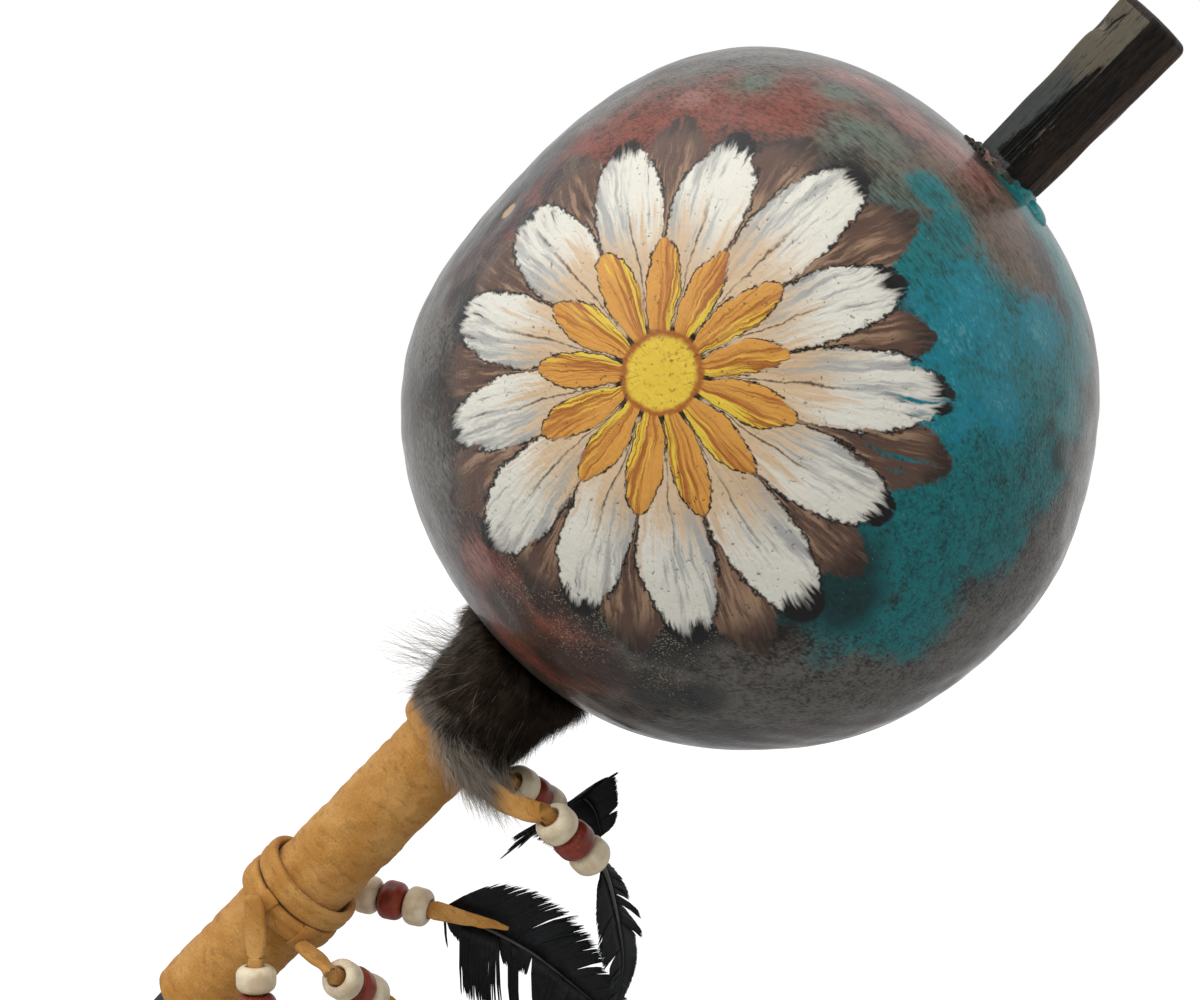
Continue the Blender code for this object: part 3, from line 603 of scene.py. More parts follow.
# Painted light: the upper flat faces the light and is painted paler than the black flats, slate at its foot
# and olive towards its tip.
lit_flat = stain.mix(LIT_FLAT_SLATE, LIT_FLAT_OLIVE, (stain.stored("tip") + (patch - 0.5) * 1.2).step(0.25, 0.75))
lit_flat = stain.mix(lit_flat, STAIN_BLACK, (flecks + (patch - 0.5) * 0.8).step(-0.10, -0.34) * 0.8)
stain.lay(lit_flat, (stain.stored("upper_flat") + flecks * 0.10).step(0.45, 0.55))
side = stain.mix(STAIN_BROWN, STAIN_RED, (patch + flecks * 0.8).step(0.36, 0.66))
stain.lay(side, (stain.stored("side_flat") + flecks * 0.25).step(0.40, 0.60))
stain.lay(STAIN_BLACK, torn_strip * 0.92)
stain.lay(STAIN_WORN, torn_strip * flecks.step(0.22, 0.42) * 0.75)
stain.lay(STAIN_WORN, (stain.stored("ridge") + flecks * 0.9).step(0.75, 1.0) * 0.6)
stain.lay(STAIN_WORN, (stain.stored("nick") + (pores - 0.5) * 0.6).step(0.5, 0.8) * 0.6)
stain.lay(STAIN_BLACK, (stain.stored("crack") + flecks * 0.4).step(0.35, 0.60))
stick_gloss = (patch + torn_strip * 0.4).step(0.2, 1.0).range(0.40, 0.80)
grain_height = long_grain * 0.6 + pores * 0.5 + torn_strip * pores
stick_finish = stain.done(stick_gloss, grain_height, STICK_RELIEF, 0.7)
add_piece(stick_mesh, stick_finish, "rattle", "dark_stick", "through_stick")

# Glue
# Glue seals the stick into both holes of the gourd and is painted over with it. The upper bead
# is a low fillet, crumbly and dark above and smooth below; the lower one is hidden in the fur.
GLUE_BORE = 0.0066
GLUE_RIM = 0.0098
GLUE_TOP = 0.0013
GLUE_SINK = 0.0002
CRUMBLE_WIDTH, CRUMBLE_DEPTH = 0.0011, 0.00022
CRUMB_COUNT = 70
CRUMB_REACH = (0.0080, 0.0104)
CRUMB_SIZES = (0.0002, 0.0005)
LUMP_ANGLE, LUMP_HALF_ANGLE = -22, 13
LUMP_RADIUS, LUMP_HALF_WIDTH, LUMP_HALF_HEIGHT = 0.0104, 0.0032, 0.0014


def crown_height(radius, angle):
    """Height of the gourd's skin along the stick near its upper hole."""
    latitude = np.arccos(np.clip(radius / GOURD_RADIUS, 0, 1))
    size = 1 + np.sin(2 * latitude) ** 2 * (UPPER_SHOULDER[0] - UPPER_SHOULDER[1] * np.cos(angle))
    return GOURD_MIDDLE + GOURD_TOP_HEIGHT * np.sin(latitude) * size


around = full_turn(220)[:, None]
slope = np.linspace(0, 1, 26)[None, :]
wander = round_stick(1.0, around, 0.0)
lump = ripple(wander, 0.9, 31) * 0.15 + ripple(wander, 0.35, 32) * 0.10
rough = np.interp(np.degrees(around), (0, 120, 160, 250, 285, 360), (0, 0, 1, 1, 0, 0))
bulge = bell((np.degrees(around) + 180) % 360 - 180, -30, 22)
foot = GLUE_RIM * (1 + lump * 0.3 + bulge * 0.10) - GLUE_BORE
fillet_radius = GLUE_BORE + foot * slope
fillet_rise = GLUE_TOP * (1 + lump + bulge * 0.5) * (1 - slope) ** 3 * (1 + 2.4 * slope)
fillet = round_stick(fillet_radius, around,
                     crown_height(fillet_radius, around) - GLUE_SINK * slope ** 4 + fillet_rise)
crumble = ripple(fillet, CRUMBLE_WIDTH, 33) * CRUMBLE_DEPTH * rough * np.sin(np.pi * slope)
fillet += ALONG * crumble[..., None]
base_radius = GLUE_BORE + foot * np.array([1.0, 0.5, 0.0])
base = round_stick(base_radius, around, crown_height(base_radius, around) - GLUE_SINK * 2)

random = np.random.default_rng(34)
crumb_angle = np.radians(random.normal(214, 24, CRUMB_COUNT))
crumb_radius = random.uniform(*CRUMB_REACH, CRUMB_COUNT)
crumb_size = random.uniform(*CRUMB_SIZES, CRUMB_COUNT)
turn = full_turn(12)[None, None, :]
rise = np.linspace(-1.45, 1.45, 7)[None, :, None]
ball = np.stack(np.broadcast_arrays(np.cos(rise) * np.cos(turn), np.cos(rise) * np.sin(turn), np.sin(rise)),
                axis=-1)
ball = ball * (1 + 0.22 * ripple(ball + random.uniform(-40, 40, (CRUMB_COUNT, 1, 1, 3)), 1.3, 35))[..., None]
ball = ball * crumb_size[:, None, None, None]
crumb_lift = GLUE_TOP * 0.8 * np.clip(1 - (crumb_radius - GLUE_BORE) / (GLUE_RIM - GLUE_BORE), 0, 1)
crumb_seat = crown_height(crumb_radius, crumb_angle) + crumb_lift + crumb_size * 0.25
crumb_middle = round_stick(crumb_radius, crumb_angle, crumb_seat)[:, None, None, :]
crumbs = crumb_middle + held(ball[..., 0], ball[..., 1], ball[..., 2] * 0.8)
lump_turn = full_turn(48)[None, :]
lump_rise = np.linspace(-1.5, 1.5, 25)[:, None]
lump_way = np.radians(LUMP_ANGLE + LUMP_HALF_ANGLE * np.cos(lump_rise) * np.cos(lump_turn))
lump_reach = LUMP_RADIUS + LUMP_HALF_WIDTH * np.cos(lump_rise) * np.sin(lump_turn)
lump_seat = crown_height(lump_reach, lump_way) - GLUE_SINK + LUMP_HALF_HEIGHT * np.sin(lump_rise)

GLUE_DARK = (0.022, 0.018, 0.015)
GLUE_GREY = (0.100, 0.095, 0.082)
GLUE_RELIEF = 0.0003
glue_paint = Finish("painted_glue", GLUE_DARK, VARNISH)
crumble = glue_paint.noise(1800, 3, 0.65)
smear = glue_paint.noise(260, 3, 0.6)
streak = glue_paint.noise(620, 4, 0.70)
broken = (smear - 0.5) * 1.4 + (streak - 0.5) * 1.0
around_under = glue_paint.split(glue_paint.upright)[0] * 90.0 + broken
glue_paint.lay(GLUE_GREY, (crumble * 0.6 + smear * 0.4).step(0.46, 0.62))
glue_paint.lay(PINK, (smear + (streak - 0.5) * 0.6).step(0.48, 0.60))
glue_paint.lay(OLIVE_DARK, (around_under + (crumble - 0.5)).step(-0.30, 0.05) * 0.85)
glue_paint.lay(TEAL, (around_under + (crumble - 0.5)).step(0.20, 0.50))
# Pale teal on the glue's side towards the underside is partly a painted sheen.
glue_paint.lay(PALE_TEAL_AND_SHEEN, around_under.step(0.55, 1.00) * 0.6)
glue_finish = glue_paint.done(crumble.range(0.30, 0.60), crumble * 0.5 + smear * 0.5, GLUE_RELIEF, 0.5)
crumb_paint = Finish("glue_crumbs", GLUE_DARK, {"Specular IOR Level": 0.25})
crumb_grain = crumb_paint.noise(1800, 3, 0.65)
crumb_paint.lay(GLUE_GREY, crumb_grain.step(0.48, 0.68))
crumb_finish = crumb_paint.done(crumb_grain.range(0.55, 0.90), crumb_grain, GLUE_RELIEF)
bead_mesh = skinned("glue_bead", np.concatenate([fillet, base], axis=1), closed=True)
add_piece(bead_mesh, glue_finish, "rattle", "glue", "top_glue_ring")
lump_mesh = skinned("glue_lump", round_stick(lump_reach, lump_way, lump_seat))
add_piece(lump_mesh, glue_finish, "rattle", "glue")
add_piece(skinned("glue_crumbs", crumbs), crumb_finish, "rattle", "glue")
lower_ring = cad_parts["bottom_glue_ring"].data.materials
lower_ring.clear()
lower_ring.append(glue_finish)

# Buckskin sleeve
# A strip of soft golden buckskin rolled round the grip, lapped along the far side and creased
# across by use. Both ends are rolled in.
SLEEVE_BORE = 0.0067
SLEEVE_RADIUS = 0.0091
SLEEVE_LOW = -0.037
SLEEVE_HIGH = 0.0673
SLEEVE_SLACK = 0.0002
ROLL_HEIGHT, ROLL_DEPTH = 0.0012, 0.0009
LAP_ANGLE, LAP_RISE = math.radians(130), 0.00025
CREASE_WIDTHS, CREASE_DEPTH = (0.0034, 0.009), 0.00016
sleeve_angle = full_turn(150)[None, :]
sleeve_height = np.linspace(SLEEVE_LOW, SLEEVE_HIGH, 260)[:, None]
from_end = np.minimum(sleeve_height - SLEEVE_LOW, SLEEVE_HIGH - sleeve_height)
rolled = ROLL_DEPTH * np.clip(1 - from_end / ROLL_HEIGHT, 0, 1) ** 2
past_lap = (sleeve_angle - LAP_ANGLE) % (2 * np.pi)
lapped = LAP_RISE * np.exp(-past_lap / 0.9) * np.clip(past_lap / 0.06, 0, 1)
flat_hide = round_stick(SLEEVE_RADIUS / 2, sleeve_angle, sleeve_height)
crease = sum(ripple(flat_hide, width, seed) for width, seed in zip(CREASE_WIDTHS, (41, 42))) * CREASE_DEPTH
sleeve_radius = SLEEVE_RADIUS - SLEEVE_SLACK - rolled + lapped - np.abs(crease)
outside = round_stick(sleeve_radius, sleeve_angle, sleeve_height)
inside_bore = round_stick(SLEEVE_BORE, sleeve_angle, np.linspace(SLEEVE_HIGH, SLEEVE_LOW, 4)[:, None])

HIDE_LIGHT = (0.600, 0.320, 0.095)
HIDE_GOLD = (0.460, 0.210, 0.042)
HIDE_DARK = (0.230, 0.090, 0.018)
HIDE_RELIEF = 0.0004


def leather(name, scale):
    """Suede-like leather: gold with paler rubbed nap, darker pores and creases."""
    hide = Finish(name, HIDE_GOLD, {"Sheen Weight": 0.08, "Sheen Roughness": 0.5, "Specular IOR Level": 0.20})
    nap = hide.noise(2400 * scale, 3, 0.6)
    fold = hide.noise(420 * scale, 3, 0.6, (0.7, 0.7, 1.6))
    tone = hide.noise(110 * scale, 2)
    hide.lay(HIDE_LIGHT, (tone * 0.6 + nap * 0.4).step(0.40, 0.62))
    hide.lay(HIDE_DARK, fold.step(0.46, 0.34) * 0.35)
    hide.lay(HIDE_DARK, nap.step(0.40, 0.30) * 0.22)
    return hide.done(nap.range(0.62, 0.92), nap * 0.5 + fold, HIDE_RELIEF)


sleeve_mesh = skinned("buckskin_sleeve", np.vstack([outside, inside_bore]), closed=True)
add_piece(sleeve_mesh, leather("buckskin", 1.0), "rattle", "buckskin", "handle_sleeve")

# Fur collar
# A strip of dark fur on its hide, wrapped round the top of the grip and pushed up against the
# gourd. The hair lies down the stick in locks, dark at its roots and greyer at its tips, and is
# painted paler on the upper side as painted light.
FUR_HEM = 0.0500
FUR_HEIGHTS = (0.0490, 0.0504, 0.0586, 0.0687, 0.0715)
FUR_RADII = (0.0098, 0.0101, 0.0125, 0.0154, 0.0163)
FUR_BORE = 0.0094
FUR_TOP_RADIUS = 0.0124
HIDE_THICKNESS = 0.0006
HAIR_DEPTH = 0.0026
HAIR_DROP = 0.0050
FUR_TOP_GAP = 0.0006
LOWEST_ROOT = FUR_HEM + 0.0008
ROOT_TOP_GAP = 0.0002
SHORT_BELOW = 0.060
HEM_TIPS = (0.0495, 0.0535)
HAIR_TUFTS = 4
HAIRS_PER_TUFT = 9600
HAIR_RADIUS = 0.000052
HAIR_SHARES = (0.0, 0.36, 0.72, 1.0)
HAIR_TAPER = (1.0, 0.85, 0.5, 0.02)
HAIR_LENGTHS = (0.0056, 0.0080)
HAIR_RELIEF = 0.0001
LOCK_WIDTH = 0.0055


def hide_radius_at(height):
    """Radius of the hide: the collar's radius where the hair ends, less the depth of hair."""
    radius = np.interp(height - HAIR_DROP, FUR_HEIGHTS, FUR_RADII) - HAIR_DEPTH
    return np.maximum(radius, FUR_BORE + HIDE_THICKNESS)


gourd_base = GOURD_MIDDLE - GOURD_BASE_HEIGHT * math.sqrt(1 - (FUR_TOP_RADIUS / GOURD_RADIUS) ** 2)
hide_top = gourd_base - FUR_TOP_GAP
hide_height = np.linspace(FUR_HEM + HIDE_THICKNESS, hide_top, 40)[:, None]
hide_angle = full_turn(80)[None, :]
hide_outside = round_stick(hide_radius_at(hide_height), hide_angle, hide_height)
hide_inside = round_stick(FUR_BORE, hide_angle, hide_height)[::-1]
fur_hide = skinned("fur_hide", np.vstack([hide_outside, hide_inside]), closed=True)


def bent(root, start, end, length, shares, taper, section):
    """Grids of points over many strands: each strand leaves its root along one direction and
    bends evenly to another, and its section is scaled by a taper at each share of its length."""
    share = np.array(shares)[:, None]
    bend = share * start[:, None] + share ** 2 / 2 * (end - start)[:, None]
    line = root[:, None] + length[:, None, None] * bend
    return line[:, :, None] + np.array(taper)[:, None, None] * section[:, None]


def strands(name, root, start, end, length, radius, spin, pale):
    """Three-sided hairs that thin out to a point. Stored fields give the share along a hair
    and how pale it is."""
    across = unit(np.cross(end, spin))
    other = unit(np.cross(end, across))
    corner = np.radians([90, 210, 330])[:, None]
    section = np.cos(corner) * across[:, None] + np.sin(corner) * other[:, None]
    mesh = skinned(name, bent(root, start, end, length, HAIR_SHARES, np.array(HAIR_TAPER) * radius, section))
    add_field(mesh, "along", np.tile(np.repeat(HAIR_SHARES, len(corner)), len(root)))
    add_field(mesh, "pale", np.repeat(pale, len(HAIR_SHARES) * len(corner)))
    return mesh


FUR_BLACK = (0.006, 0.0035, 0.002)
FUR_BROWN = (0.070, 0.046, 0.029)
FUR_GREY = (0.520, 0.450, 0.370)
fur_paint = Finish("dark_fur", FUR_BLACK, {"Specular IOR Level": 0.12})
lock_tone = fur_paint.noise(420, 2)
ends = fur_paint.stored("along")
pale = fur_paint.stored("pale")
fur_paint.lay(FUR_BROWN, (lock_tone * 0.7 + ends * 0.5 + (pale - 0.2) * 0.6).step(0.40, 1.0))
fur_paint.lay(FUR_GREY, (pale * 1.3 + ends * 0.7 + (lock_tone - 0.5) * 0.6).step(0.90, 1.8))
fur_finish = fur_paint.done(lock_tone.range(0.50, 0.75), lock_tone, HAIR_RELIEF, 0.2)
DOWN = np.array([0.0, 0.0, -1.0])
root_span = hide_top - LOWEST_ROOT - ROOT_TOP_GAP
for tuft in range(HAIR_TUFTS):
    random = np.random.default_rng(50 + tuft)
    angle = random.uniform(0, 2 * np.pi, HAIRS_PER_TUFT)
    height = LOWEST_ROOT + root_span * random.uniform(0, 1, HAIRS_PER_TUFT) ** 0.8
    root = round_stick(hide_radius_at(height), angle, height)
    outward = round_stick(1.0, angle, 0.0)
    sideways = held(-np.sin(angle), np.cos(angle), 0.0)
    lock = ripple(root, LOCK_WIDTH, 60)[:, None]
    high = np.interp(height, (SHORT_BELOW, hide_top), (0.0, 1.0))[:, None]
    stray = random.normal(0, 0.11, (HAIRS_PER_TUFT, 3))
    start = outward * (0.62 + 0.45 * high) - ALONG * (0.70 - 0.95 * high) + sideways * lock * 0.35 + stray
    end = (outward * (0.05 + 0.12 * lock + 0.08 * high) - ALONG * 0.95 + sideways * lock * 0.30
           + DOWN * 0.12 + stray)
    length = random.uniform(*HAIR_LENGTHS, HAIRS_PER_TUFT)
    length = length * np.interp(height, (FUR_HEM, SHORT_BELOW), (0.70, 1.0))
    hem_tips = np.interp(height, HEM_TIPS, (0.45, 0.0))
    # Hairs on the upper side, which faces the light, are painted paler: painted light.
    lit_upper_side = 0.5 - 0.5 * np.cos(angle)
    greys = random.uniform(0, 0.30, HAIRS_PER_TUFT) * (0.4 + lit_upper_side) + 0.25 * lit_upper_side ** 2 + hem_tips
    mesh = strands(f"fur_hair_{tuft}", root, start, end, length, HAIR_RADIUS, outward + stray, greys)
    add_piece(mesh, fur_finish, "rattle", "fur")
for field in ("along", "pale"):
    add_field(fur_hide, field, np.zeros(len(fur_hide.vertices)))
add_piece(fur_hide, fur_finish, "rattle", "fur", "fur_collar")

# Loose hair: a grey fringe round the hem, a wispy tuft that stands out at the upper side, a
# lock that hangs over the tied thong, and flyaway hairs. A row has the count, middle angle from
# the underside and its spread, heights, stand-off, lengths, lift, hang, paleness.
LOCK_ROOT = (0.0417, -0.0121, 0.0318)
LOCK_BEND = (0.0468, -0.0136, 0.0290)
LOOSE_HAIR = {
    "fur_fringe": (3600, 0, 180, (0.0508, 0.0545), 0.0010, (0.0028, 0.0050), 0.18, (0, 0, -0.15), 0.95),
    "fur_front_fringe": (3000, -100, 36, (0.0508, 0.055), 0.001, (0.003, 0.0058), 0.22, (0, 0, -0.2), 1.05),
    "fur_wisp": (190, 196, 26, (0.0530, 0.0640), 0.0018, (0.0080, 0.0175), 0.95, (-0.15, 0, -0.05), 1.40),
    "fur_lock": (2600, -60, 14, (0.0505, 0.0535), 0.0040, (0.0080, 0.0140), 0.34, (1.00, -0.30, -0.55), 1.10),
    "fur_flyaway": (500, 0, 180, (0.0500, 0.0660), 0.0012, (0.0050, 0.0085), 0.35, (0, 0, -0.12), 0.80),
}
for name, (count, middle, width, heights, stand, lengths, lift, hang, shade) in LOOSE_HAIR.items():
    random = np.random.default_rng(len(name))
    angle = random.normal(middle, width, count) if width < 180 else random.uniform(-180, 180, count)
    angle = np.radians(angle)
    height = random.uniform(*heights, count)
    root = round_stick(hide_radius_at(height) + stand, angle, height)
    outward = round_stick(1.0, angle, 0.0)
    stray = random.normal(0, 0.10 + 0.22 * lift, (count, 3))
    start = outward * (lift + 0.25) - ALONG * (1.0 - lift * 0.6) + stray * 0.6
    end = outward * lift * 0.8 - ALONG * (1.0 - lift * 0.7) * (1 - np.linalg.norm(hang) * 0.6) + hang + stray
    length = random.uniform(*lengths, count)
    greys = random.uniform(0.4, 1.0, count) * shade
    mesh = strands(name, root, start, end, length, HAIR_RADIUS * (0.85 - 0.3 * lift), outward + stray, greys)
    body = ("rattle", "dangle_b", LOCK_ROOT, LOCK_BEND) if name == "fur_lock" else "rattle"
    add_piece(mesh, fur_finish, body, "fur")

# Laces
# Thin leather laces wound twice round the sleeve, with a flat knot where each thong is tied.
LACE_INNER = 0.0094
LACE_OUTER = 0.0114
LACE_WIDTH = 0.0050
LACE_KNOTS = {"upper": (0.0462, (0, -58)), "middle": (0.0009, (90,)), "lower": (-0.0045, (-43, -100))}
GROOVE_DEPTH = 0.0004
LACE_SWAY = 0.00012
KNOT_SWELL = 0.0006
KNOT_THICKNESS = 0.0007
KNOT_SINK = 0.0002
KNOT_OVERHANG = 0.0003
KNOT_BULGE = 0.0002
thong_hide = leather("thong_leather", 1.3)
lace_turn, lace_swing = full_turn(180)[:, None], full_turn(40)[None, :]
lap, strip = full_turn(40)[:, None], full_turn(20)[None, :]
thick, wide = (LACE_OUTER - LACE_INNER) / 2, LACE_WIDTH / 2


def squared(values, power):
    """Sine or cosine raised to a power under 1, with its sign: it squares off an oval."""
    return np.sign(values) * np.abs(values) ** power


for place, (middle, knots) in LACE_KNOTS.items():
    out, along = squared(np.cos(lace_swing), 0.6), squared(np.sin(lace_swing), 0.7)
    groove = GROOVE_DEPTH * bell(along, 0.0, 0.12) * (out > 0)
    swell = sum(bell((np.degrees(lace_turn) - knot + 180) % 360 - 180, 0, 11) for knot in knots)
    lace_radius = LACE_INNER + thick + thick * out - groove + swell * KNOT_SWELL * np.maximum(out, 0)
    lace_height = (middle + wide * along * (1 + 0.10 * swell) * 0.96
                   + LACE_SWAY * np.sin(2 * lace_turn + middle * 900))
    loop = skinned(f"{place}_lace_loop", round_stick(lace_radius, lace_turn, lace_height), closed=True)
    add_piece(loop, thong_hide, "rattle", "thong_leather", f"{place}_lace")
    for knot in knots:
        knot_radius = LACE_OUTER - KNOT_SINK + KNOT_THICKNESS * np.cos(lap) * (1 + 0.4 * np.cos(strip))
        knot_angle = math.radians(knot) + 0.17 * np.sin(strip) + 0.03 * np.sin(lap)
        knot_height = middle + (wide + KNOT_OVERHANG) * np.sin(lap) + KNOT_BULGE * np.cos(strip)
        wrap = round_stick(knot_radius, knot_angle, knot_height)
        wrap_mesh = skinned(f"{place}_lace_knot_{abs(knot)}", wrap, closed=True)
        add_piece(wrap_mesh, thong_hide, "rattle", "thong_leather")

# Thongs
# Five cut leather thongs, each tied to a lace. A thong is a flat strip that folds to pass
# through three beads and ends in a cut point, or in the last bead with the quill.
THONG_HALF_WIDTH = 0.0022
THONG_HALF_THICKNESS = 0.0009
FOLDED_WIDTH = 0.0016 / THONG_HALF_WIDTH
FOLDED_THICKNESS = 0.0011 / THONG_HALF_THICKNESS
THONG_LEAD_IN = 0.0014
THONG_WAVE_LENGTH, THONG_WAVE = 0.004, 0.0001
THONG_OPENS = (0.0006, 0.0022)
FOLD_LENGTHS = (0.0045, 0.0008)
TAIL_OPENS, TAIL_POINT = 0.0012, 0.0065
BEADED_LENGTH = 0.0171
KNOT_BACK = 0.0020
KNOTS = {"a": (0.043063, 0.0, 0.022274), "b": (0.038177, -0.012466, 0.02716),
         "c": (0.000636, 0.0147, 0.000636), "d": (0.00442, -0.010025, -0.010784),
         "e": (-0.004987, -0.014477, -0.001377)}
ROUTES = {
    "a": ((0.0010, 0.0030, 0.0010),),
    "b": ((0.0067, -0.0011, -0.0034), (0.0111, -0.0021, -0.0055), (0.0163, -0.0032, -0.0066),
          (0.0193, -0.0030, -0.0074)),
    "c": ((0.0022, 0, -0.0022), (0.0046, 0, -0.0042)),
    "d": ((0.0036, -0.0004, -0.0024), (0.0064, 0, -0.0050)),
    "e": ((0.0004, 0, -0.0060), (0.0004, 0, -0.0120)),
}
AIMS = {"a": (0.24, 0.86, -0.46), "b": (0.37, 0.68, -0.63), "c": (0.98, 0, -0.17),
        "d": (0.16, 0.88, -0.44), "e": (0, 0, -1)}
TAILS = {"a": 0.0, "b": 0.0, "c": 0.0175, "d": 0.0150, "e": 0.0150}
FLAT_SIDES = {"a": (0.4, 0.0, 1.0), "b": (0.0, -1.0, 0.25), "c": (0.0, -1.0, 0.0),
              "d": (0.98, -0.18, 0.0), "e": (0.0, -1.0, 0.0)}


def lengths_along(path):
    """Distance along a path to each of its points."""
    return np.concatenate([[0], np.cumsum(np.linalg.norm(np.diff(path, axis=0), axis=1))])


def smooth_path(points, count):
    """Evenly spaced points on a Catmull-Rom curve through chosen points."""
    points = np.asarray(points, float)
    knots = np.vstack([2 * points[0] - points[1], points, 2 * points[-1] - points[-2]])
    step = np.linspace(0, 1, 24, endpoint=False)[:, None]
    before, start, end, after = (knots[i:len(knots) - 3 + i, None] for i in range(4))
    dense = 0.5 * (2 * start + (end - before) * step + (2 * before - 5 * start + 4 * end - after) * step ** 2
                   + (3 * start - before - 3 * end + after) * step ** 3)
    dense = np.vstack([dense.reshape(-1, 3), points[-1:]])
    length = lengths_along(dense)
    even = np.linspace(0, length[-1], count)
    return np.stack([np.interp(even, length, dense[:, axis]) for axis in range(3)], axis=1)


def path_frame(path, face):
    """Tangent, the way across the path square to a face, and the way out of that face."""
    tangent = unit(np.gradient(path, axis=0))
    across = unit(np.cross(tangent, np.broadcast_to(face, path.shape)))
    return tangent, across, np.cross(across, tangent)


def swept(path, across, out, wide, deep):
    """Closed sections along a path, each point so far across it and so far out of its face."""
    return path[:, None] + across[:, None] * wide[..., None] + out[:, None] * deep[..., None]


thongs, thong_paths = {}, {}
strip_wide = THONG_HALF_WIDTH * squared(np.cos(full_turn(28)), 0.55)
strip_deep = THONG_HALF_THICKNESS * squared(np.sin(full_turn(28)), 0.75)
for letter, knot in KNOTS.items():
    aim, tail = unit(AIMS[letter]), TAILS[letter]
    *bends, mouth = np.array(ROUTES[letter])
    first = unit(ROUTES[letter][0])
    route = [-first * KNOT_BACK, np.zeros(3), *bends, mouth - aim * THONG_LEAD_IN, mouth,
             mouth + aim * BEADED_LENGTH]
    if tail:
        route += [mouth + aim * (BEADED_LENGTH + tail / 2), mouth + aim * (BEADED_LENGTH + tail)]
    path = np.array(knot) + smooth_path(route, 90)
    along = lengths_along(path)
    total = along[-1]
    after = total - tail
    beaded = after - BEADED_LENGTH
    stations = [0, *THONG_OPENS, *(beaded - np.array(FOLD_LENGTHS)), after]
    widths = [0.55, 0.85, 1.0, 1.0, FOLDED_WIDTH, FOLDED_WIDTH]
    thicks = [0.5, 1.0, 1.0, 1.0, FOLDED_THICKNESS, FOLDED_THICKNESS]
    if tail:
        stations += [after + TAIL_OPENS, total - TAIL_POINT, total]
        widths += [0.92, 0.60, 0.16]
        thicks += [0.85, 0.75, 0.45]
    wide = np.interp(along, stations, widths)[:, None] * strip_wide
    deep = np.interp(along, stations, thicks)[:, None] * strip_deep
    _, across, out = path_frame(path, unit(FLAT_SIDES[letter]))
    strip = swept(path, across, out, wide, deep)
    strip += across[:, None] * (ripple(strip, THONG_WAVE_LENGTH, 71) * THONG_WAVE)[..., None]
    mesh = skinned(f"leather_thong_{letter}", strip)
    thongs[letter] = add_piece(mesh, thong_hide, f"dangle_{letter}", "thong_leather", f"thong_{letter}")
    thong_paths[letter] = path

# Beads
# Rounded barrel beads, cream, red and cream on each thong, with softly rounded ends, a round
# bore that the thong fills, and the slight waves and grain of worn bone and horn.
BEAD_RADIUS = 0.0041
BEAD_LENGTH = 0.0054
BEAD_BORE = 0.0020
BEAD_PITCH = 0.0057
BEAD_GAP = 0.0003
BEAD_SHOULDER = 0.0019
BEAD_WAVE_LENGTH, BEAD_WAVE = 0.006, 0.00006
BEAD_RELIEF = 0.00006
BORE_HALF = 0.0020
EDGE_RADIUS, EDGE_HALF = BEAD_BORE + 0.0002, 0.0025
bead_corner = np.radians(np.linspace(90, 0, 9))
bead_out = BEAD_RADIUS - BEAD_SHOULDER * (1 - np.cos(bead_corner))
bead_up = BEAD_LENGTH / 2 - BEAD_SHOULDER * (1 - np.sin(bead_corner))
belly = np.linspace(1, -1, 7)[1:-1]
bead_profile = np.concatenate([
    [[BEAD_BORE, -BORE_HALF], [BEAD_BORE, BORE_HALF], [EDGE_RADIUS, EDGE_HALF]],
    np.stack([bead_out, bead_up], axis=1),
    np.stack([np.full(5, BEAD_RADIUS), belly * (BEAD_LENGTH / 2 - BEAD_SHOULDER)], axis=1),
    np.stack([bead_out, -bead_up], axis=1)[::-1],
    [[EDGE_RADIUS, -EDGE_HALF]]])
outer_side = bead_profile[:, :1] > EDGE_RADIUS + BEAD_WAVE
shoulder = np.abs(bead_profile[:, 1]) / (BEAD_LENGTH / 2)


def bead_finish(name, deep, body, worn):
    """Satin bead: soft cloudy colour, a few fine flecks, and paler worn shoulders."""
    paint = Finish(name, deep, {"Subsurface Weight": 0.10, "Subsurface Scale": 0.002, "Coat Weight": 0.10,
                                "Coat Roughness": 0.25, "Specular IOR Level": 0.40})
    cloudy = paint.noise(240, 2)
    fleck = paint.noise(2400, 2, 0.6)
    paint.lay(body, (cloudy * 0.85 + fleck * 0.15).step(0.36, 0.62))
    paint.lay(worn, (fleck + paint.stored("shoulder") * 0.22).step(0.62, 0.90) * 0.40)
    return paint.done(fleck.range(0.34, 0.50), fleck * 0.4 + cloudy, BEAD_RELIEF, 0.4)


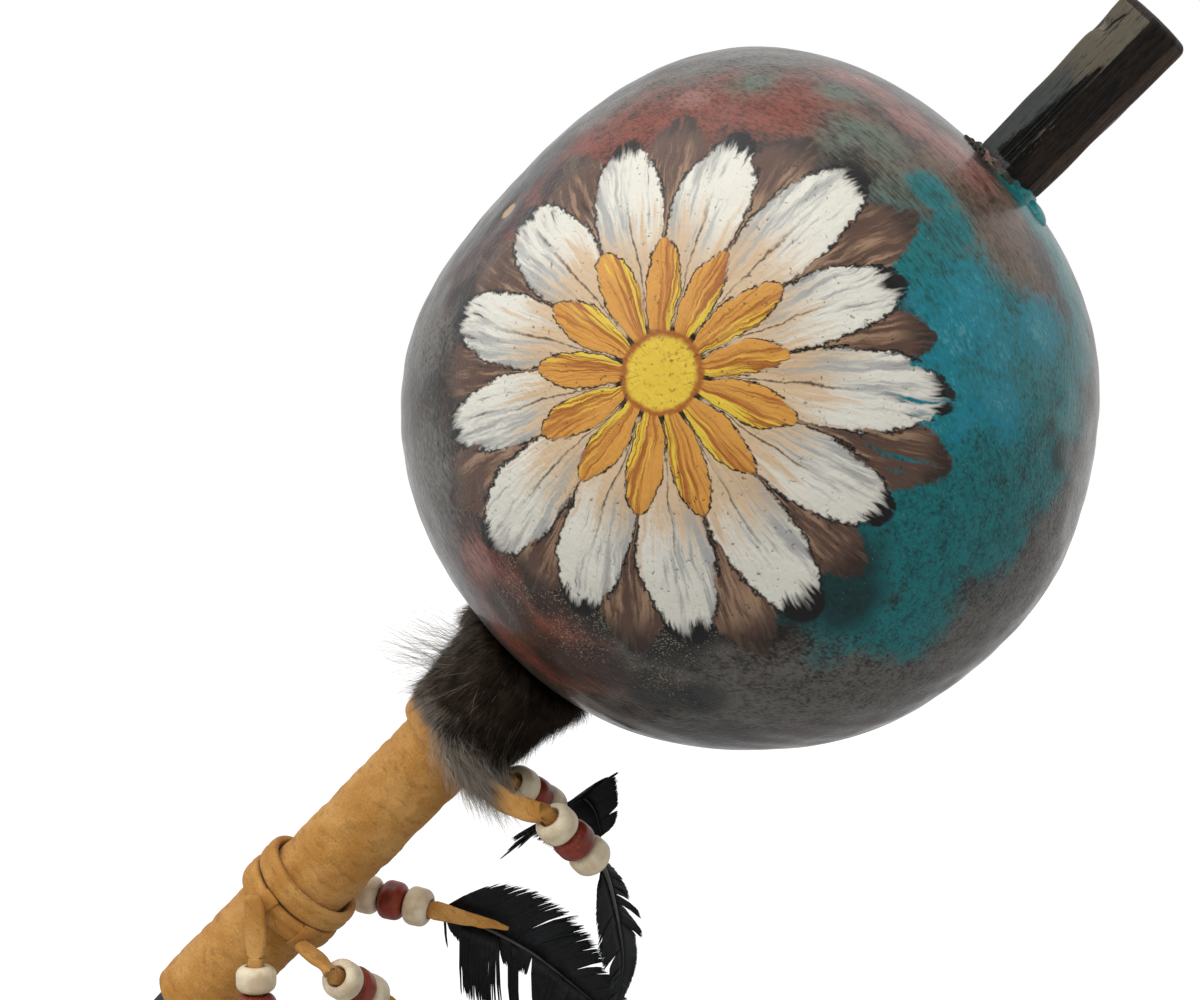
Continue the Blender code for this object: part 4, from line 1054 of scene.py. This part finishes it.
BEAD_COLOURS = {"cream_bead": ((0.620, 0.480, 0.300), (0.790, 0.680, 0.480), (0.860, 0.800, 0.680)),
                "red_bead": ((0.150, 0.014, 0.005), (0.270, 0.034, 0.012), (0.400, 0.120, 0.070))}
bead_finishes = {slot: bead_finish(slot, *colours) for slot, colours in BEAD_COLOURS.items()}
bead_turn = full_turn(48)[:, None]
bead_pieces = {letter: [] for letter in KNOTS}
for letter, knot in KNOTS.items():
    aim = unit(AIMS[letter])
    mouth = np.array(knot) + ROUTES[letter][-1]
    across = unit(np.cross(aim, (0.3, 0.5, 0.8)))
    wheel = np.cos(bead_turn) * across + np.sin(bead_turn) * np.cross(aim, across)
    for number, slot in enumerate(("cream_bead", "red_bead", "cream_bead"), 1):
        centre = mouth + aim * (BEAD_GAP + BEAD_LENGTH / 2 + BEAD_PITCH * (number - 1))
        points = centre + bead_profile[:, :1, None] * wheel + bead_profile[:, 1:, None] * aim
        uneven = ripple(points, BEAD_WAVE_LENGTH, 80 + number) * BEAD_WAVE * outer_side
        mesh = skinned(f"barrel_bead_{letter}_{number}", points + wheel * uneven[..., None], closed=True)
        add_field(mesh, "shoulder", np.repeat(shoulder, len(bead_turn)))
        piece = add_piece(mesh, bead_finishes[slot], f"dangle_{letter}", slot, f"bead_{letter}_{number}")
        bead_pieces[letter].append(piece)

# Feathers
# One black feather on each thong, its quill pushed into the last bead. A vane is some hundreds
# of flat barbs that leave the quill at a slant, split into locks with ragged ends.
QUILL_RADIUS = 0.0009
QUILL_SEAT = 0.0022
QUILL_BESIDE_TAIL = 0.0029
QUILL_GAP = 0.0003
BARE_QUILL = 0.04
BARBS_A_SIDE = 420
BARB_HALF_WIDTH = 0.00022
BARB_HALF_THICKNESS = 0.00005
SHORTEST_BARB = 0.0012
BROKEN_BARB = 0.40
BARB_STRAY = 0.015
BARB_SHARES = (0.0, 0.3, 0.65, 0.88, 1.0)
BARB_TAPER = (0.8, 1.0, 0.9, 0.55, 0.08)
SHORTEST_CORD = 0.03

# A row has the quill's route from the last bead, both vanes' widths, the way the face looks, the
# way that a bent feather's vanes sweep, and the slant and the looseness of both vanes' barbs.
FEATHERS = {
    "a": (((0.0020, 0.0038, 0.0008), (0.0050, 0.0046, 0.0018), (0.0074, 0.0048, -0.0008),
           (0.0088, 0.0050, -0.0058)),
          (0.0078, 0.0160), (0, -1, 0), (-0.80, 0, -0.60), (0.1, 0.1), (0.06, 0.06)),
    "b": (((0.0022, 0.0020, -0.0055), (0.0038, 0.0022, -0.0130), (0.0046, 0.0022, -0.0205),
           (0.0030, 0.0022, -0.0290)),
          (0.0044, 0.0050), (0.90, -0.44, 0), None, (1.0, 0.9), (0.08, 0.06)),
    "c": (((0.0170, 0.0006, -0.0066), (0.0262, 0.0008, -0.0121), (0.0436, 0.0010, -0.0250)),
          (0.0112, 0.0150), (0, -1, 0), None, (0.9, 0.5), (0.05, 0.06)),
    "d": (((0.0004, 0.0040, -0.0060), (0.0010, 0.0056, -0.0140), (0.0016, 0.0062, -0.0225),
           (0.0010, 0.0064, -0.0310)),
          (0.0062, 0.0062), (0.98, -0.18, 0), None, (1.0, 1.0), (0.04, 0.07)),
    "e": (((0.0006, 0.0006, -0.0150), (0.0020, 0.0008, -0.0290), (0.0056, 0.0010, -0.0430)),
          (0.0070, 0.0065), (0, -1, 0), None, (1.0, 1.0), (0.05, 0.07)),
}

# How full a feather is near its foot, how often each vane splits, and among how many of its
# first locks every other one is broken off. Feather c is the worn one.
WHOLE = (0.6, (0.035, 0.035), (0, 0))
WORN = {"c": (0.40, (0.035, 0.065), (0, 8))}


def barbs(quill, tangent, outer, out, reach, slant, loose, splits, missing, seed):
    """Flat tapered barbs along a quill: each leaves at a slant between the quill's way and
    its vane's way, bends towards the tip, and is turned, shortened or broken off by locks."""
    random = np.random.default_rng(seed)
    count = len(quill)
    lock = np.cumsum(random.uniform(0, 1, count) < splits)
    twist = (random.normal(0, loose, lock[-1] + 1)[lock] + random.normal(0, BARB_STRAY, count))[:, None]
    lift = out * random.normal(0, 0.02 + loose * 0.4, lock[-1] + 1)[lock][:, None]
    short = random.uniform(0.82, 1.04, lock[-1] + 1)[lock] * random.uniform(0.93, 1.03, count)
    short = short * np.where((lock % 2 == 1) & (lock < missing), BROKEN_BARB, 1.0)
    start = outer * 0.86 + tangent * (0.52 * slant + twist) + lift
    end = outer * (0.86 - 0.34 * slant) + tangent * (0.86 * slant + twist * 1.6) + lift * 2
    length = reach * short / (0.86 - 0.12 * slant)
    flat = unit(np.cross(out, start))
    side = np.array([[-1, 0], [0, 1], [1, 0], [0, -1]]) * (BARB_HALF_WIDTH, BARB_HALF_THICKNESS)
    section = side[:, :1] * flat[:, None] + side[:, 1:] * out[:, None]
    return bent(quill, start, end, length, BARB_SHARES, BARB_TAPER, section)


FEATHER_BLACK = (0.0015, 0.0018, 0.0022)
FEATHER_GREY_AND_SHEEN = (0.007, 0.0095, 0.012)
QUILL_GREY = (0.060, 0.055, 0.048)
FEATHER_RELIEF = 0.0001
plume = Finish("black_feather", FEATHER_BLACK, {
    "Specular IOR Level": 0.24, "Sheen Weight": 0.04, "Sheen Roughness": 0.35,
    "Sheen Tint": (0.65, 0.82, 1.0, 1.0)})
barb_grain = plume.noise(1500, 2, 0.5)
lock_tone = plume.noise(260, 2)
# The blue-grey patches laid over the vanes are a painted sheen.
plume.lay(FEATHER_GREY_AND_SHEEN, (barb_grain * 0.4 + lock_tone * 0.7).step(0.50, 0.78))
plume_finish = plume.done(lock_tone.range(0.32, 0.52), barb_grain, FEATHER_RELIEF, 0.4)
shaft = Finish("feather_quill", QUILL_GREY, {"Specular IOR Level": 0.5})
shaft_grain = shaft.noise(900, 2)
shaft.lay(FEATHER_GREY_AND_SHEEN, (shaft.stored("along") + (shaft_grain - 0.5) * 0.5).step(0.25, 0.75))
shaft_finish = shaft.done(shaft_grain.range(0.25, 0.45), shaft_grain, FEATHER_RELIEF, 0.3)
stem_turn = full_turn(10)
share = np.linspace(0, 1, BARBS_A_SIDE)
vaned = share > BARE_QUILL
thin = QUILL_RADIUS * (1 - 0.90 * share[::8, None] ** 0.35)
for letter, (points, vanes, face, sweep, slants, looseness) in FEATHERS.items():
    swell, splits, missing = WORN.get(letter, WHOLE)
    aim, face = unit(AIMS[letter]), unit(face)
    base = np.array(KNOTS[letter]) + ROUTES[letter][-1] + aim * (BEADED_LENGTH + QUILL_GAP)
    if TAILS[letter]:
        base = base - face * QUILL_BESIDE_TAIL
    spine = smooth_path(np.vstack([base, base + aim * QUILL_SEAT, base + np.array(points)]), BARBS_A_SIDE)
    tangent, across, out = path_frame(spine, face)
    if sweep:
        across = np.broadcast_to(unit(sweep), spine.shape)
    leaf = np.sin(np.pi * np.clip((share - BARE_QUILL) / (1 - BARE_QUILL), 0, 1) ** swell) ** 0.7
    leaf = leaf ** 0.5 if sweep else leaf
    both = [barbs(spine[vaned], tangent[vaned], way[vaned], out[vaned],
                  (leaf * vanes[number] + SHORTEST_BARB)[vaned], slants[number], looseness[number],
                  splits[number], missing[number], ord(letter) + number)
            for number, way in enumerate((-across, across))]
    body = f"dangle_{letter}"
    vane_mesh = skinned(f"feather_vane_{letter}", np.concatenate(both))
    vane = add_piece(vane_mesh, plume_finish, body, "feather", f"feather_{letter}")
    stem = swept(spine[::8], across[::8], out[::8], thin * np.cos(stem_turn), thin * np.sin(stem_turn))
    stem_mesh = skinned(f"feather_stem_{letter}", stem)
    add_field(stem_mesh, "along", np.repeat(share[::8], len(stem_turn)))
    stem_piece = add_piece(stem_mesh, shaft_finish, body, "feather")
    length = float(lengths_along(thong_paths[letter])[-1])
    length > SHORTEST_CORD

# Seeds
# Dry flat seeds that rattle in the hollow, pointed at one end, each free by itself.
SEED_COUNT = 10
SEED_BROWN = (0.130, 0.070, 0.032)
SEED_PALE = (0.330, 0.210, 0.110)
SEED_RELIEF = 0.0002
SEED_LONG, SEED_WIDE, SEED_FLAT, SEED_SINK = 0.97, 0.82, 0.62, 0.36
seed_turn = full_turn(20)[None, :]
seed_rise = np.linspace(-1.5, 1.5, 15)[:, None]
pointed = np.cos(seed_rise) * (1 - 0.125 * (1 + np.sin(seed_rise)))
seed_paint = Finish("seed", SEED_BROWN, {"Specular IOR Level": 0.4})
seed_vein = seed_paint.noise(1400, 3, 0.6, (1.0, 1.0, 0.3))
seed_tone = seed_paint.noise(240, 2)
seed_paint.lay(SEED_PALE, (seed_vein * 0.6 + seed_tone * 0.4).step(0.38, 0.62))
seed_finish = seed_paint.done(seed_vein.range(0.45, 0.7), seed_vein, SEED_RELIEF, 0.5)
for number in range(1, SEED_COUNT + 1):
    seed = f"seed_{number:02d}"
    low, high = (np.array(corner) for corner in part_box(seed))
    half = (high - low).min() / 2
    spin = np.random.default_rng(number).uniform(0, 2 * np.pi)
    long = half * SEED_LONG * np.sin(seed_rise)
    wide = half * SEED_WIDE * pointed
    kernel = np.stack(np.broadcast_arrays(long * np.cos(spin) - wide * np.cos(seed_turn) * np.sin(spin),
                                          long * np.sin(spin) + wide * np.cos(seed_turn) * np.cos(spin),
                                          wide * SEED_FLAT * np.sin(seed_turn) - half * SEED_SINK), axis=-1)
    add_piece(skinned(f"dry_{seed}", (low + high) / 2 + kernel), seed_finish, seed, "seed", seed)

# Floor, light and camera
# A plain pale floor under the rattle, soft light from above and a white surround, dimmer on
# the near side. Floor and surround read as white to the camera; the floor keeps the shadow.
FLOOR_HALF = 4.0
FLOOR_DROP = 0.030
FLOOR_GREY = (0.50, 0.50, 0.50, 1.0)
FLOOR_GLOW = 0.65
FLOOR_FAR_WAY, FLOOR_FAR = (-0.6, 0.8, 0.0), (0.10, 0.45)
WHITE = (1.0, 1.0, 1.0, 1.0)
floor_height = float(cad_box[0][2]) - FLOOR_DROP
floor_mesh = bpy.data.meshes.new("floor")
floor_corners = [(x * FLOOR_HALF, y * FLOOR_HALF, floor_height)
                 for x, y in ((-1, -1), (1, -1), (1, 1), (-1, 1))]
floor_mesh.from_pydata(floor_corners, [], [(0, 1, 2, 3)])
floor_finish = bpy.data.materials.new("floor")
floor_finish.use_nodes = True
floor_tree = floor_finish.node_tree
ray = add_node(floor_tree, "ShaderNodeLightPath", {}).outputs
spot = add_node(floor_tree, "ShaderNodeTexCoord", {}).outputs["Object"]
away = add_node(floor_tree, "ShaderNodeVectorMath", {0: spot, 1: FLOOR_FAR_WAY}, operation="DOT_PRODUCT")
far = add_node(floor_tree, "ShaderNodeMapRange", {"Value": away.outputs["Value"], "From Min": FLOOR_FAR[0],
                                                  "From Max": FLOOR_FAR[1]})
seen = {0: ray["Is Glossy Ray"], 1: far.outputs["Result"], 2: ray["Is Camera Ray"]}
viewed = add_node(floor_tree, "ShaderNodeMath", seen, operation="MULTIPLY_ADD", use_clamp=True)
glow = add_node(floor_tree, "ShaderNodeMath", {0: viewed.outputs[0], 1: FLOOR_GLOW}, operation="MULTIPLY")
feed(floor_tree, floor_tree.nodes["Principled BSDF"], {
    "Base Color": FLOOR_GREY, "Roughness": 0.9, "Specular IOR Level": 0.0, "Emission Color": WHITE,
    "Emission Strength": glow.outputs[0]})
floor_mesh.materials.append(floor_finish)
placed("floor", floor_mesh)

SURROUND_LIGHT = 0.46
ROOM_LIGHT = 0.12
ROOM_FAR_WAY, ROOM_NEAR = (-0.28, 0.96, 0.0), (-1.0, -0.2)
world = bpy.data.worlds.new("surround")
bpy.context.scene.world = world
world.use_nodes = True
sky = world.node_tree
ray = add_node(sky, "ShaderNodeLightPath", {}).outputs
compass = add_node(sky, "ShaderNodeTexCoord", {}).outputs["Generated"]
facing = add_node(sky, "ShaderNodeVectorMath", {0: compass, 1: ROOM_FAR_WAY}, operation="DOT_PRODUCT")
mirrored = add_node(sky, "ShaderNodeMapRange", {
    "Value": facing.outputs["Value"], "From Min": ROOM_NEAR[0], "From Max": ROOM_NEAR[1],
    "To Min": ROOM_LIGHT, "To Max": 1.0})
glossy = add_node(sky, "ShaderNodeMix", {"Factor": ray["Is Glossy Ray"], "A": SURROUND_LIGHT,
                                         "B": mirrored.outputs["Result"]})
clear = add_node(sky, "ShaderNodeMath", {0: ray["Is Camera Ray"], 1: ray["Is Transmission Ray"]},
                 operation="ADD", use_clamp=True)
level = add_node(sky, "ShaderNodeMix", {"Factor": clear.outputs[0], "A": glossy.outputs["Result"], "B": 1.0})
feed(sky, sky.nodes["Background"], {"Color": WHITE, "Strength": level.outputs["Result"]})

for name, energy, width, heading in (("key_light", 1.75, 80, (0.22, 0.48, -0.84)),
                                     ("front_light", 0.50, 90, (-0.10, 0.95, -0.30))):
    lamp = bpy.data.lights.new(name, "SUN")
    lamp.energy = energy
    lamp.angle = math.radians(width)
    light = placed(name, lamp)
    light.rotation_euler = Vector(heading).to_track_quat("-Z", "Y").to_euler()
    light.visible_glossy = name == "key_light"

CAMERA_AZIMUTH = math.radians(16.265)
CAMERA_RISE = math.radians(2.621)
CAMERA_DISTANCE = 0.50
FOCAL_PIXELS = 2575.3
IMAGE_SIZE = (1200, 1000)
AIM_PIXEL = (755.1, 428.6)
forward = np.array([-math.sin(CAMERA_AZIMUTH) * math.cos(CAMERA_RISE),
                    math.cos(CAMERA_AZIMUTH) * math.cos(CAMERA_RISE), -math.sin(CAMERA_RISE)])
right = np.array([math.cos(CAMERA_AZIMUTH), math.sin(CAMERA_AZIMUTH), 0.0])
up = np.cross(right, forward)
aside = (AIM_PIXEL[0] - IMAGE_SIZE[0] / 2) / FOCAL_PIXELS
above = (IMAGE_SIZE[1] / 2 - AIM_PIXEL[1]) / FOCAL_PIXELS
camera_data = bpy.data.cameras.new("camera")
camera_data.sensor_fit = "HORIZONTAL"
camera_data.lens = camera_data.sensor_width * FOCAL_PIXELS / IMAGE_SIZE[0]
camera = placed("camera", camera_data)
camera.location = held(0.0, 0.0, GOURD_MIDDLE) - CAMERA_DISTANCE * (forward + aside * right + above * up)
camera.rotation_euler = (math.pi / 2 - CAMERA_RISE, 0.0, CAMERA_AZIMUTH)
bpy.context.scene.camera = camera
bpy.context.scene.view_settings.view_transform = "Standard"
